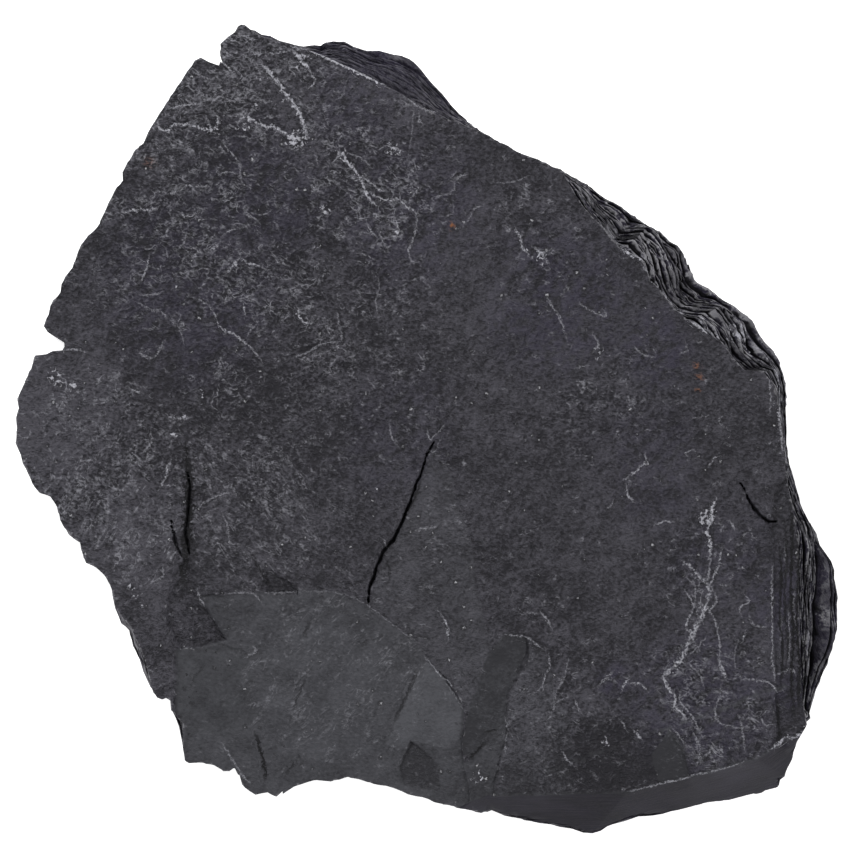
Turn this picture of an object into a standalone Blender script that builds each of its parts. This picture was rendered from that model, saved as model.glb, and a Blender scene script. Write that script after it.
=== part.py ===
"""Slate slab: one natural piece of split slate, lying on its flat back face.

The slab is built as the rock is: flat cleavage sheets lie on each other, each with its
own broken outline, and are fused into one solid. Flakes that have split off the face,
the open cracks and the clean fracture at the lower right are then cut from it.

Outlines are drawn on a plan in drawing units, x to the right and y down, and UNIT turns
them into metres. The slab's origin is the middle of its box, on the surface it rests on.
"""

import math

import bmesh
import bpy
import numpy as np
from mathutils import Matrix, Vector

# Driving dimensions, in metres
SLAB_WIDTH = 0.165
SLAB_THICKNESS = 0.016
SHEET_COUNT = 12
SHEET_OVERLAP = 0.00023
WIDEST_LEVEL = 0.0026
UNDERCUT = 0.0016
RAGGED = 0.0007
FLANK_RAGGED = 0.16
EDGE_INSET = 0.0007
LEDGE_LEVEL = 0.0050
SWELL = 0.8
SWELL_BEARING = math.radians(-20.0)
SWELL_SPREAD = math.radians(19.0)
OVERSHOOT = 0.004
WELD = 0.000001
SEED = 41

# The plan: drawing units, with the extremes of the outline
PLAN_LEFT, PLAN_RIGHT = 14.0, 841.5
PLAN_TOP, PLAN_BOTTOM = 22.0, 836.5
UNIT = SLAB_WIDTH / (PLAN_RIGHT - PLAN_LEFT)
PLAN_MIDDLE = ((PLAN_LEFT + PLAN_RIGHT) / 2, (PLAN_TOP + PLAN_BOTTOM) / 2)
HEART = (430.0, 430.0)

# The widest outline, clockwise from the peak at the top left
OUTLINE = (
    (242, 22), (254, 28), (269, 34), (291, 42), (320, 44), (334, 39), (350, 43), (367, 48),
    (401, 53), (416, 62), (433, 82), (450, 101), (471, 121), (501, 141), (530, 155), (551, 164),
    (576, 176), (606, 196), (632, 210), (661, 229), (681, 245), (691, 261), (699, 280),
    (725, 298), (755, 320), (765, 339), (782, 361), (788, 385), (789, 424), (789, 445),
    (796, 476), (803, 502), (817, 530), (829, 554), (838, 577), (841.5, 604), (840.5, 631),
    (835, 651), (825, 676), (814, 708), (809, 723), (796, 753), (786, 779), (780, 789),
    (767, 802), (742, 802), (708, 805), (683, 812), (665, 816), (640, 818), (620, 825),
    (593.5, 836.5), (572, 831), (546, 826), (520, 821.5), (492, 813), (482, 816), (452, 808),
    (428, 801), (408, 796), (391, 789), (358, 781), (341, 781), (309, 783), (293, 789),
    (280.5, 797), (267, 794.5), (254.5, 796), (241, 786), (233, 769), (223, 773), (213, 767),
    (199, 764), (187, 765), (181, 748), (175, 723), (169, 702), (161, 701), (149, 689),
    (137, 661), (127, 632), (119, 624), (112, 603), (103, 577), (85, 564), (78, 543),
    (67, 535), (55, 507), (49, 497), (38, 493.5), (28, 478), (18, 452), (14, 443), (15, 416),
    (17, 408), (16, 397), (30, 366), (33, 355), (50.5, 350.5), (60, 350), (62, 342),
    (46, 331.5), (42, 325.5), (49, 306), (59.5, 292), (64, 276), (74, 258), (87, 235),
    (101, 216), (113, 190), (121.5, 180), (121.5, 171), (134, 149), (142, 142), (156, 116),
    (175, 87), (190, 65), (200, 56), (222, 63), (218.6, 52), (219, 43), (234, 31),
)

# Where the face stops short of the outline and layered flanks show between the two
UPPER_RIM = (
    (242, 26), (262, 38), (300, 49), (320, 56), (341, 65), (362, 74.5), (385, 87), (409, 100),
    (432, 113), (452, 122), (490, 138), (515, 151), (545, 165), (560, 170), (573, 192),
    (585, 210), (602, 227), (619, 247), (641, 260), (650, 280), (669, 303), (686, 318),
    (709, 334), (722, 342), (731, 355), (744, 370), (762, 372), (774, 386), (777, 404),
    (780, 424), (783, 445), (784, 466), (786, 480), (789, 500), (794, 520), (798, 545),
    (798, 600), (798, 650), (800, 690), (803, 712), (806, 729),
)
LOWER_LEFT_RIM = (
    (184, 752), (184, 722), (170, 706), (156, 697), (148, 663), (140, 643), (130, 623),
    (118, 610), (110, 583), (92, 566),
)
# The outer sheet at the right stands out below a cleft, as a ledge
RIGHT_LEDGE = ((815, 520), (820, 552), (817, 602), (816, 646), (811, 690), (808, 712))

# Flakes split off the face: outline, depth at the middle, fall across it, and the
# direction that it falls in, as degrees anticlockwise from +X
FLAKES = {
    "lower_left_flake": ((
        (199, 593), (228, 594), (253, 592), (299, 590), (338, 592), (362, 601), (386, 618),
        (404, 632), (417, 641), (425, 656), (444, 675), (454, 690), (463, 710), (461, 737),
        (466, 775), (480, 860), (170, 860), (170, 775), (181, 745), (181, 649), (203, 640),
    ), 0.0008, 0.8, -100.0),
    "second_flake": ((
        (177, 649), (205, 645), (232, 643), (243, 647.5), (251, 656), (254, 690), (253, 723),
        (247, 721), (228, 738), (205, 729), (176, 712),
    ), 0.0011, 1.0, -150.0),
    "middle_flake": ((
        (434, 446), (447, 469), (462, 518), (471, 546), (477, 588), (484, 616), (495, 652),
        (488, 669), (481, 691), (472, 714), (455, 697), (445, 679), (424, 652), (414, 636),
        (385, 614), (371, 604), (376, 586), (384, 560), (400, 530), (412, 500), (419, 478),
    ), 0.0003, 0.9, 160.0),
    "dark_flake": ((
        (490, 650), (507, 633), (519, 634), (530, 641), (531, 654), (521, 674), (510, 696),
        (508, 740), (496, 790), (494, 850), (472, 850), (467, 785), (460, 738), (468, 711),
        (475, 690), (482, 668),
    ), 0.0008, 6.0, -15.0),
    "lower_middle_flake": ((
        (527, 638), (544, 650), (549, 667), (556, 690), (570, 720), (577, 850), (488, 850),
        (493, 783), (504, 740), (506, 694), (517, 672), (527, 652),
    ), 0.0006, 1.5, 175.0),
    "recess": ((
        (190, 556), (196, 573), (199, 601), (208, 608), (214, 618), (227, 638), (201, 644),
        (183, 647), (175, 639), (170, 623), (171, 606), (174, 586), (177, 562),
    ), 0.0014, 1.5, -90.0),
    "right_ledge": ((
        (773, 490), (773, 512), (770.5, 530), (771, 560), (772.5, 602), (772.5, 653),
        (775, 690), (776, 725), (777, 750), (860, 750), (860, 480), (786, 474), (779, 480),
    ), 0.0007, 6.0, 0.0),
}

# Open cracks: the line, the widest gap in drawing units, and the depth in metres
CRACKS = {
    "main_crack": ((
        (434, 443), (424, 462), (415, 482), (410, 500), (401, 524), (394, 539), (384, 553),
        (377, 570), (371, 588), (370, 602),
    ), 5.0, 0.0022),
    "left_crack": ((
        (186, 446), (188, 470), (190, 487), (189, 519), (186, 534), (190, 554), (195, 566),
    ), 6.5, 0.0024),
    "left_branch": (((172, 512), (175, 535), (180, 551), (186, 566)), 3.5, 0.0019),
    "curved_crack": (((740, 483), (749, 501), (759, 516), (767, 521), (775, 521)), 4.5, 0.0021),
}

# The clean fractures at the lower right: two points along the upper edge, between which
# the cut reaches, and a point low on it
FRACTURES = {
    "end_fracture": ((440, 807), (486, 790), (502, 834)),
    "lower_fracture": ((486, 790), (760, 789), (600, 837)),
    "middle_fracture": ((560, 811), (820, 744), (706, 807)),
    "corner_fracture": ((690, 789), (836, 716), (778, 795)),
}
FRACTURE_FOOT = 0.0026

# Flakes off the back, out of which the slab still rests on a wide flat face
BACK_FLAKES = {
    "back_corner_flake": ((
        (590, 860), (566, 760), (610, 700), (640, 640), (705, 596), (742, 540), (860, 500),
        (860, 860),
    ), 0.0009),
    "back_top_flake": ((
        (180, 0), (190, 92), (262, 124), (352, 112), (430, 140), (470, 80), (450, 0),
    ), 0.0006),
}


def clear_scene():
    """Removes every object, so that the slab is alone."""
    for leftover in list(bpy.data.objects):
        bpy.data.objects.remove(leftover)


def new_collection(name):
    """A collection linked to the scene."""
    collection = bpy.data.collections.new(name)
    bpy.context.scene.collection.children.link(collection)
    return collection


def place(point):
    """A point of the plan in metres, with y upwards and the origin in the middle."""
    return Vector(((point[0] - PLAN_MIDDLE[0]) * UNIT, (PLAN_MIDDLE[1] - point[1]) * UNIT))


def plan(points):
    """A list of the plan's points in metres."""
    return [place(point) for point in points]


def bearing(point):
    """The direction of a point seen from the slab's heart."""
    offset = point - place(HEART)
    return math.atan2(offset.y, offset.x)


def reach(point):
    """How far a point lies from the slab's heart."""
    return (point - place(HEART)).length


def rim_reach(direction, rims, otherwise):
    """How far out an edge runs in one direction, read off the stretch that covers it."""
    for rim in rims:
        known = plan(rim)
        start = bearing(known[0])
        swept = np.unwrap([start] + [bearing(point) for point in known[1:]])
        turned = start + math.remainder(direction - start, math.tau)
        for candidate in (turned - math.tau, turned, turned + math.tau):
            if min(swept[0], swept[-1]) <= candidate <= max(swept[0], swept[-1]):
                order = np.argsort(swept)
                distances = np.array([reach(point) for point in known])
                return float(np.interp(candidate, swept[order], distances[order]))
    return otherwise


def ragged_wave(direction, phases):
    """A wandering number from 0 to 1 round the slab, from waves of several lengths."""
    waves = (5, 11, 19, 31, 47)
    total = sum(math.cos(count * direction + phase) for count, phase in zip(waves, phases))
    return 0.5 + 0.5 * total / len(waves)


def flank_power(direction):
    """How the flank bulges: 1 for an even slope, more at the right, where it stays out high up."""
    away = math.remainder(direction - SWELL_BEARING, math.tau) / SWELL_SPREAD
    return 1.0 + SWELL * max(0.0, 1.0 - away * away)


def sheet_outline(level, phases):
    """The broken outline of the sheet at one level: widest low down, drawn in above and below."""
    above = max(0.0, (level - WIDEST_LEVEL) / (SLAB_THICKNESS - WIDEST_LEVEL))
    below = max(0.0, 1.0 - level / WIDEST_LEVEL) * UNDERCUT
    rough = 0.0 if level in (WIDEST_LEVEL, SLAB_THICKNESS) else RAGGED
    outline = []
    for corner in plan(OUTLINE):
        direction = bearing(corner)
        widest = reach(corner)
        face = min(widest - EDGE_INSET, rim_reach(direction, (UPPER_RIM, LOWER_LEFT_RIM), widest))
        start = widest
        if level > LEDGE_LEVEL:
            start = min(widest, rim_reach(direction, (RIGHT_LEDGE,), widest))
        drawn_in = start + (face - start) * above ** flank_power(direction) - below
        uneven = rough + (rough > 0.0) * FLANK_RAGGED * (start - face)
        drawn_in -= uneven * ragged_wave(direction, phases)
        outline.append(place(HEART) + (corner - place(HEART)) * (drawn_in / widest))
    return outline


def solid_from_outline(name, outline, thickness, collection):
    """A flat outline filled on both sides and extruded, made a closed mesh from z = 0 up."""
    curve = bpy.data.curves.new(name, "CURVE")
    curve.dimensions = "2D"
    curve.fill_mode = "BOTH"
    curve.extrude = thickness / 2
    spline = curve.splines.new("POLY")
    spline.points.add(len(outline) - 1)
    for point, corner in zip(spline.points, outline):
        point.co = (corner.x, corner.y, 0.0, 1.0)
    spline.use_cyclic_u = True
    flat = bpy.data.objects.new(name + "_outline", curve)
    bpy.context.scene.collection.objects.link(flat)
    evaluated = flat.evaluated_get(bpy.context.evaluated_depsgraph_get())
    mesh = bpy.data.meshes.new_from_object(evaluated)
    weld(mesh)
    mesh.shade_flat()
    mesh.transform(Matrix.Translation((0.0, 0.0, thickness / 2)))
    solid = bpy.data.objects.new(name, mesh)
    solid.matrix_world = flat.matrix_world
    collection.objects.link(solid)
    bpy.data.objects.remove(flat)
    return solid


def weld(mesh):
    """Welds the caps of an extruded outline to its walls and turns the faces outwards."""
    shape = bmesh.new()
    shape.from_mesh(mesh)
    bmesh.ops.remove_doubles(shape, verts=shape.verts, dist=WELD)
    bmesh.ops.recalc_face_normals(shape, faces=shape.faces)
    shape.to_mesh(mesh)
    shape.free()


def as_tool(solid):
    """Marks a solid as a tool that shapes the slab and isn't part of it."""
    solid.hide_render = True
    solid.display_type = "WIRE"
    return solid


def combine(body, tool, operation):
    """Joins or cuts the body with a tool, by a Boolean that stays on it."""
    boolean = body.modifiers.new(tool.name, "BOOLEAN")
    boolean.operation = operation
    boolean.solver = "EXACT"
    boolean.object = tool


def sheet_tops(generator):
    """The level of each sheet's upper face: uneven thicknesses that fill the slab."""
    thicknesses = generator.uniform(0.7, 1.4, SHEET_COUNT)
    return np.cumsum(thicknesses) * SLAB_THICKNESS / thicknesses.sum()


def make_sheets(generator, tools):
    """The cleavage sheets from the back upwards, each reaching a little into the one below."""
    tops = sheet_tops(generator)
    widest = int(np.searchsorted(tops, WIDEST_LEVEL))
    sheets = []
    for number, top in enumerate(tops):
        bottom = 0.0 if number == 0 else tops[number - 1] - SHEET_OVERLAP
        level = WIDEST_LEVEL if number == widest else (bottom + top) / 2
        level = SLAB_THICKNESS if number == SHEET_COUNT - 1 else level
        outline = sheet_outline(level, generator.uniform(0.0, math.tau, 5))
        sheet = solid_from_outline(f"sheet_{number + 1}", outline, top - bottom, tools)
        sheet.location.z = bottom
        sheets.append(sheet)
    return sheets


def middle_of(points):
    """The mean of a list of points."""
    return sum(points, Vector((0.0, 0.0))) / len(points)


def make_flake(name, outline, depth, fall, direction, tools):
    """A tool with a tilted floor that takes one flake off the face."""
    corners = plan(outline)
    pivot = middle_of(corners)
    tool = solid_from_outline(name, [corner - pivot for corner in corners], OVERSHOOT, tools)
    axis = Vector((-math.sin(math.radians(direction)), math.cos(math.radians(direction)), 0.0))
    tool.matrix_world = (Matrix.Translation((pivot.x, pivot.y, SLAB_THICKNESS - depth))
                         @ Matrix.Rotation(math.radians(fall), 4, axis))
    return as_tool(tool)


def crack_outline(line, gap):
    """A long sliver round a line: closed to a point at its start and widest past its middle."""
    centre = plan(line)
    left, right = [], []
    for number, point in enumerate(centre[1:-1], start=1):
        along = (centre[number + 1] - centre[number - 1]).normalized()
        share = math.sin(math.pi * (number / (len(centre) - 1)) ** 1.3)
        half = gap * UNIT / 2 * (0.35 + 0.65 * share)
        side = Vector((-along.y, along.x)) * half
        left.append(point + side)
        right.append(point - side)
    return [centre[0]] + left + [centre[-1]] + right[::-1]


def make_crack(name, line, gap, depth, tools):
    """A tool that opens one crack in the face."""
    tool = solid_from_outline(name, crack_outline(line, gap), depth + OVERSHOOT, tools)
    tool.location.z = SLAB_THICKNESS - depth
    return as_tool(tool)


def make_fracture(name, corners, tools):
    """A box whose underside is the plane of one clean fracture face."""
    start, end, foot = (place(corner) for corner in corners)
    first = start.to_3d() + Vector((0.0, 0.0, SLAB_THICKNESS))
    last = end.to_3d() + Vector((0.0, 0.0, SLAB_THICKNESS))
    low = foot.to_3d() + Vector((0.0, 0.0, FRACTURE_FOOT))
    along = (last - first).normalized()
    outwards = along.cross(first - low).normalized()
    if outwards.z < 0:
        outwards = -outwards
    across = outwards.cross(along)
    length = (last - first).length
    bpy.ops.mesh.primitive_cube_add(size=1.0)
    tool = bpy.context.active_object
    tool.name = name
    tool.data.transform(Matrix.Diagonal((length, length, length, 1.0)))
    turn = Matrix((along, across, outwards)).transposed().to_4x4()
    tool.matrix_world = Matrix.Translation((first + last) / 2 + outwards * length / 2) @ turn
    for home in list(tool.users_collection):
        home.objects.unlink(tool)
    tools.objects.link(tool)
    return as_tool(tool)


def make_back_flake(name, outline, depth, tools):
    """A tool that takes one flake off the back."""
    tool = solid_from_outline(name, plan(outline), depth + OVERSHOOT, tools)
    tool.location.z = -OVERSHOOT
    return as_tool(tool)


def slate_material():
    """Dark slate with a cool violet cast and a dull split surface."""
    material = bpy.data.materials.new("slate")
    material.use_nodes = True
    shader = material.node_tree.nodes["Principled BSDF"]
    shader.inputs["Base Color"].default_value = (0.055, 0.053, 0.062, 1.0)
    shader.inputs["Roughness"].default_value = 0.62
    shader.inputs["Metallic"].default_value = 0.0
    return material


def make_slab():
    """The whole slab: sheets fused, then flakes, fractures and cracks taken off."""
    clear_scene()
    slab_parts = new_collection("slate_slab")
    tools = new_collection("shaping_tools")
    generator = np.random.default_rng(SEED)
    body, *upper_sheets = make_sheets(generator, tools)
    cutters = [make_fracture(name, corners, tools) for name, corners in FRACTURES.items()]
    cutters += [make_flake(name, *flake, tools) for name, flake in FLAKES.items()]
    cutters += [make_crack(name, *crack, tools) for name, crack in CRACKS.items()]
    cutters += [make_back_flake(name, *flake, tools) for name, flake in BACK_FLAKES.items()]
    tools.objects.unlink(body)
    slab_parts.objects.link(body)
    body.name = "slate_slab"
    for sheet in upper_sheets:
        combine(body, as_tool(sheet), "UNION")
    for cutter in cutters:
        combine(body, cutter, "DIFFERENCE")
    body.data.materials.append(slate_material())


make_slab()
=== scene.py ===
"""Slate slab: the finish of one natural piece of split slate, laid flat under studio light.

The stone is one closed surface. Its face, its layered edge and its back are each worked
out from two parameters as whole arrays, from the same plan that the solid is built on.
"""
import math

import bpy
import numpy as np
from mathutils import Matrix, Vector


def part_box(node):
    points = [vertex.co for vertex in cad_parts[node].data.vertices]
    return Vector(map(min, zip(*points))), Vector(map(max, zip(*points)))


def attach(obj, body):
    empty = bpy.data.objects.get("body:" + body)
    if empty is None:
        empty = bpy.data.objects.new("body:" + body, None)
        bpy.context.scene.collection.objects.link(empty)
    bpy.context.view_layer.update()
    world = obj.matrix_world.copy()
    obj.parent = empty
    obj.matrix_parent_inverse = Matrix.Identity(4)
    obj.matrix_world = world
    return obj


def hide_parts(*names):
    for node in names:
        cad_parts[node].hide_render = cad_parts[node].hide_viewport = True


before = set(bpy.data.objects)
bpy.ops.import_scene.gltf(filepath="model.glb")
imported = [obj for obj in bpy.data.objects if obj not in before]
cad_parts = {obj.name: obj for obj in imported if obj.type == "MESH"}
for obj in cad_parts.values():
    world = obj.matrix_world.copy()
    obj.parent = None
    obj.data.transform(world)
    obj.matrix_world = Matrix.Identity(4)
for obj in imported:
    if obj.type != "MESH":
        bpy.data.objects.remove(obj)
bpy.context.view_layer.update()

bl_info = {
    "name": "Slate Slab",
    "version": (1, 0, 0),
    "blender": (4, 5, 0),
    "location": "3D View > Sidebar > Slate",
    "description": "Builds a layered slab of split slate and the stage it lies on",
    "category": "Add Mesh",
}

SLAB_NODE = "slate_slab"
SLAB_LOW, SLAB_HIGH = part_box(SLAB_NODE)
SLAB_WIDTH = SLAB_HIGH[0] - SLAB_LOW[0]
SLAB_THICKNESS = SLAB_HIGH[2] - SLAB_LOW[2]
MM = 0.001

# The plan: drawing units, x to the right and y down, with the extremes of the outline
PLAN_LEFT, PLAN_RIGHT = 14.0, 841.5
PLAN_TOP, PLAN_BOTTOM = 22.0, 836.5
UNIT = SLAB_WIDTH / (PLAN_RIGHT - PLAN_LEFT)
PLAN_MIDDLE = np.array(((PLAN_LEFT + PLAN_RIGHT) / 2, (PLAN_TOP + PLAN_BOTTOM) / 2))
HEART = (430.0, 430.0)

# The cleavage sheets, as in the solid
SHEET_COUNT = 12
WIDEST_LEVEL = 2.6 * MM
UNDERCUT = 1.6 * MM
RAGGED = 0.7 * MM
FLANK_RAGGED = 0.16
EDGE_INSET = 0.7 * MM
LEDGE_LEVEL = 5.0 * MM
# Where the flank bulges out: how much, its bearing, and how far to either side
SWELL = 0.8
SWELL_BEARING = math.radians(-20.0)
SWELL_SPREAD = math.radians(19.0)
# How the layers lie along the edge: a bearing in degrees, a crowding towards the outline
# above 0 or towards the face below 0, how far the clefts stand open, and how crumpled it is
CROWDING = (
    (-38.0, 0.0, 1.0, 1.0), (-33.0, 0.6, 0.8, 0.15), (-17.0, 0.6, 0.8, 0.15),
    (-12.0, 0.0, 1.0, 1.0), (10.0, 0.0, 1.0, 1.0), (13.5, -0.6, 1.0, 1.0),
    (23.0, 0.9, 1.0, 1.0), (26.0, -0.9, 1.0, 1.0), (43.0, 1.0, 1.0, 1.0),
    (46.0, -0.9, 1.0, 1.0), (60.0, 0.9, 1.0, 1.0), (66.0, 0.0, 0.8, 1.0),
    (71.0, 0.2, 0.15, 1.6), (84.0, 0.8, 0.15, 1.8), (88.0, 0.2, 0.15, 1.8),
    (101.0, 0.7, 0.15, 1.6), (106.0, 0.0, 1.0, 1.0),
)
CRUMPLE = 0.22 * MM
SHEET_SEED = 41
SHEET_WAVES = (5, 11, 19, 31, 47)
LAMINA_FLUSH = 0.7

# The broken end of a thin layer and the ledge below it: where rows of points lie, as shares
# of the end's height and of the ledge's width, and how far each of them strays
END_ROWS = (0.0, 0.3, 0.7, 1.0)
END_BULGE = 0.05 * MM
END_ROUGHNESS = 0.15 * MM
LEDGE_ROWS = (0.12, 0.3, 0.55, 0.8)
LEDGE_ROUGHNESS = 0.12 * MM
# How a ledge dips into the cleft above it: depth over width inside a sheet and between two
# sheets, and the deepest that a cleft may be
CLEFT_IN_SHEET = 0.8
CLEFT_BETWEEN_SHEETS = 2.6
DEEPEST_CLEFT = 2.4 * MM

# The widest outline, clockwise from the peak at the top left
OUTLINE = (
    (242, 22), (245, 23), (249, 27), (254, 28), (259, 32), (269, 34), (278, 38), (291, 42),
    (303, 44), (313, 43), (320, 44), (325, 40), (334, 39), (344, 39), (350, 43), (358, 46),
    (367, 48), (381, 49), (389, 51), (401, 53), (409, 56), (416, 62), (423, 69), (429, 77),
    (433, 82), (443, 92), (450, 101), (460, 112), (471, 121), (481, 129), (492, 135),
    (501, 141), (506, 142), (517, 149), (530, 155), (541, 158), (551, 164), (561, 168),
    (576, 176), (590, 183), (606, 196), (623, 204), (632, 210), (644, 219), (661, 229),
    (671, 238), (681, 245), (686, 251), (691, 261), (693, 268), (699, 280), (713, 288),
    (725, 298), (735, 304), (745, 312), (755, 320), (758, 327), (765, 339), (775, 349),
    (782, 361), (786, 374), (788, 385), (789, 396), (788, 410), (789, 424), (789, 445),
    (792, 462), (796, 476), (798, 482), (803, 502), (810, 518), (817, 530), (821, 536),
    (822, 544), (829, 554), (835, 562), (838, 570), (838, 577), (840, 587), (841.5, 596),
    (841, 611), (840.5, 631), (836, 646), (835, 651), (830, 665), (825, 676), (818, 694),
    (814, 708), (812, 715), (813, 720), (809, 723), (806, 729), (799, 745), (796, 753),
    (794, 762), (790, 770), (786, 779), (782, 781), (780, 789), (779, 793), (773, 798),
    (767, 802), (753, 800.5), (742, 802), (723, 803), (708, 805), (695, 808), (683, 812),
    (673, 813), (665, 816), (640, 818), (620, 825), (608, 829), (602, 833.5), (593.5, 836.5),
    (583, 835), (572, 831), (559, 829), (546, 826), (520, 821.5), (500, 816.5), (492, 813),
    (482, 816), (467, 813), (452, 808), (435, 805), (428, 801), (408, 796), (391, 789),
    (374, 786), (358, 781), (347, 779), (341, 781), (330, 783), (317, 782), (309, 783),
    (293, 789), (282, 793), (280.5, 797), (276, 798.5), (267, 794.5), (254.5, 796),
    (248, 792), (241, 786), (239, 777), (236, 774), (233, 769), (229, 773), (223, 773),
    (213, 767), (199, 764), (187, 765), (184, 763), (181, 748), (178, 731), (175, 723),
    (170, 712), (169, 702), (164, 699.5), (161, 701), (156, 699), (149, 689), (141, 674),
    (137, 661), (131, 647), (127, 632), (119, 624), (113.5, 611), (112, 603), (109.5, 589),
    (103, 577), (93, 567.5), (85, 564), (82, 559), (78, 543), (75, 541.5), (67, 535),
    (59, 521), (55, 507), (49, 497), (38, 493.5), (32, 487), (28, 478), (21, 463), (18, 452),
    (14, 443), (15, 430), (15, 416), (17, 408), (15.5, 401), (16, 397), (22, 384), (30, 366),
    (33, 355), (45, 354), (50.5, 350.5), (60, 350), (63, 346), (62, 342), (56, 338.5),
    (46, 331.5), (42, 325.5), (47, 314), (49, 306), (52, 300), (59.5, 292), (60, 284),
    (64, 276), (71.5, 266), (74, 258), (78, 247), (87, 235), (97, 225), (101, 216),
    (109, 199), (113, 190), (121.5, 180), (121.5, 171), (127, 161), (134, 149), (142, 142),
    (147, 131), (156, 116), (164, 104), (175, 87), (184, 74), (190, 65), (194, 59), (200, 56),
    (207, 60), (212, 62), (218, 64), (222, 63), (219.5, 59), (218.6, 52), (220, 47),
    (219, 43), (226, 37), (234, 31), (237, 25),
)

# Where the face stops short of the outline and layered flanks show between the two
UPPER_RIM = (
    (242, 26), (262, 38), (300, 49), (320, 56), (341, 65), (362, 74.5), (385, 87), (409, 100),
    (432, 113), (452, 122), (490, 138), (515, 151), (545, 165), (560, 170), (573, 192),
    (585, 210), (602, 227), (619, 247), (641, 260), (650, 280), (669, 303), (686, 318),
    (709, 334), (722, 342), (731, 355), (744, 370), (762, 372), (774, 386), (777, 404),
    (780, 424), (783, 445), (784, 466), (786, 480), (789, 500), (794, 520), (798, 545),
    (798, 600), (798, 650), (800, 690), (803, 712), (806, 729),
)
LOWER_LEFT_RIM = (
    (184, 752), (184, 722), (170, 706), (156, 697), (148, 663), (140, 643), (130, 623),
    (118, 610), (110, 583), (92, 566),
)
RIGHT_LEDGE = ((815, 520), (820, 552), (817, 602), (816, 646), (811, 690), (808, 712))

# Flakes split off the face: outline, depth at the middle, fall across it, the direction that it
# falls in as degrees anticlockwise from +X, how freshly split its floor is, how wide the step
# round it is in widths of a common step, and how much lighter its floor is. That lightness is
# painted shade on the dark flake, the dark notch, the dark slip and the right ledge, and painted
# light on the light facet.
FLAKES = {
    "lower_left_flake": ((
        (199, 593), (228, 594), (253, 592), (299, 590), (338, 592), (362, 601), (386, 618),
        (404, 632), (417, 641), (425, 656), (444, 675), (454, 690), (463, 710), (461, 737),
        (466, 775), (480, 860), (170, 860), (170, 775), (181, 745), (181, 649), (203, 640),
    ), 0.8, 0.8, -100.0, 0.8, 1.0, 0.08),
    "light_facet": ((
        (419, 664), (432, 665), (446, 677), (455, 692), (462, 709), (460, 732), (448, 748),
        (425, 742), (411, 742), (396, 748), (386, 742), (397, 716), (408, 690),
    ), 0.8, 0.8, -100.0, 0.9, 1.0, 0.46),
    "second_flake": ((
        (177, 649), (205, 645), (232, 643), (243, 647.5), (251, 656), (254, 690), (253, 723),
        (247, 721), (228, 738), (205, 729), (176, 712),
    ), 1.1, 1.0, -150.0, 1.0, 2.0, -0.04),
    "middle_flake": ((
        (434, 446), (447, 469), (462, 518), (471, 546), (477, 588), (484, 616), (495, 652),
        (488, 669), (481, 691), (472, 714), (455, 697), (445, 679), (424, 652), (414, 636),
        (385, 614), (371, 604), (376, 586), (384, 560), (400, 530), (412, 500), (419, 478),
    ), 0.3, 0.9, 160.0, 0.35, 2.6, 0.08),
    "dark_flake": ((
        (490, 650), (507, 633), (519, 634), (529, 641), (530, 656), (521, 674), (511, 694),
        (506, 722), (496, 730), (486, 742), (472, 758), (463, 752), (460, 738), (468, 711),
        (475, 690), (482, 668),
    ), 0.7, 5.0, -15.0, 0.9, 1.6, -0.38),
    "end_facet": ((
        (472, 758), (486, 742), (496, 730), (505, 723), (506, 745), (500, 770), (498, 840),
        (472, 840), (468, 790), (464, 772), (464, 760),
    ), 0.8, 1.0, -15.0, 0.8, 1.6, 0.02),
    "lower_middle_flake": ((
        (527, 638), (544, 650), (549, 667), (556, 690), (570, 720), (577, 850), (488, 850),
        (493, 783), (504, 740), (506, 694), (517, 672), (527, 652),
    ), 0.6, 1.5, 175.0, 0.3, 2.0, 0.10),
    "recess": ((
        (190, 556), (196, 573), (199, 601), (208, 608), (214, 618), (227, 638), (201, 644),
        (183, 647), (175, 639), (170, 623), (171, 606), (174, 586), (177, 562),
    ), 1.1, 3.5, -50.0, 0.0, 4.0, 0.0),
    "right_ledge": ((
        (773, 490), (773, 512), (770.5, 530), (771, 560), (772.5, 602), (772.5, 653),
        (775, 690), (776, 725), (777, 750), (860, 750), (860, 480), (786, 474), (779, 480),
    ), 0.7, 6.0, 0.0, 0.0, 1.0, -0.16),
    "dark_notch": ((
        (411, 740), (424, 749), (438, 763), (441, 790), (404, 785), (399, 764),
    ), 1.1, 4.0, 150.0, 0.6, 1.8, -0.2),
    "dark_slip": ((
        (264, 570), (273, 571), (286, 580), (299, 592), (270, 593),
    ), 0.55, 5.0, -60.0, 0.1, 1.4, -0.15),
    "small_slip": ((
        (668, 728), (682, 744), (690, 790), (660, 790), (650, 752),
    ), 0.35, 2.0, 150.0, 0.9, 2.0, -0.34),
}

# Open cracks: the line, the widest gap in drawing units, and the depth in millimetres
CRACKS = {
    "main_crack": ((
        (434, 443), (424, 462), (415, 482), (410, 500), (401, 524), (394, 539), (384, 553),
        (377, 570), (371, 588), (370, 602),
    ), 4.0, 2.2),
    "left_crack": ((
        (188, 472), (190, 487), (189, 519), (187, 534), (189, 553),
    ), 3.4, 1.3),
    "left_branch": (((173, 520), (175, 530), (177, 545), (181, 556)), 2.6, 1.6),
    "curved_crack": (((740, 483), (749, 501), (759, 516), (767, 521), (775, 521)), 4.5, 2.1),
}

# The clean fractures at the lower right: two points along the upper edge, between which
# the cut reaches, and a point low on it
FRACTURES = (
    ((440, 807), (486, 790), (502, 834)),
    ((486, 790), (760, 789), (600, 837)),
    ((560, 807), (820, 739), (706, 807)),
    ((700, 794), (840, 697), (778, 795)),
)
FRACTURE_FOOT = 2.6 * MM

# Flakes off the back: outline and depth in millimetres
BACK_FLAKES = (
    (((590, 860), (566, 760), (610, 700), (640, 640), (705, 596), (742, 540), (860, 500),
      (860, 860)), 0.9),
    (((180, 0), (190, 92), (262, 124), (352, 112), (430, 140), (470, 80), (450, 0)), 0.6),
)
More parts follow.
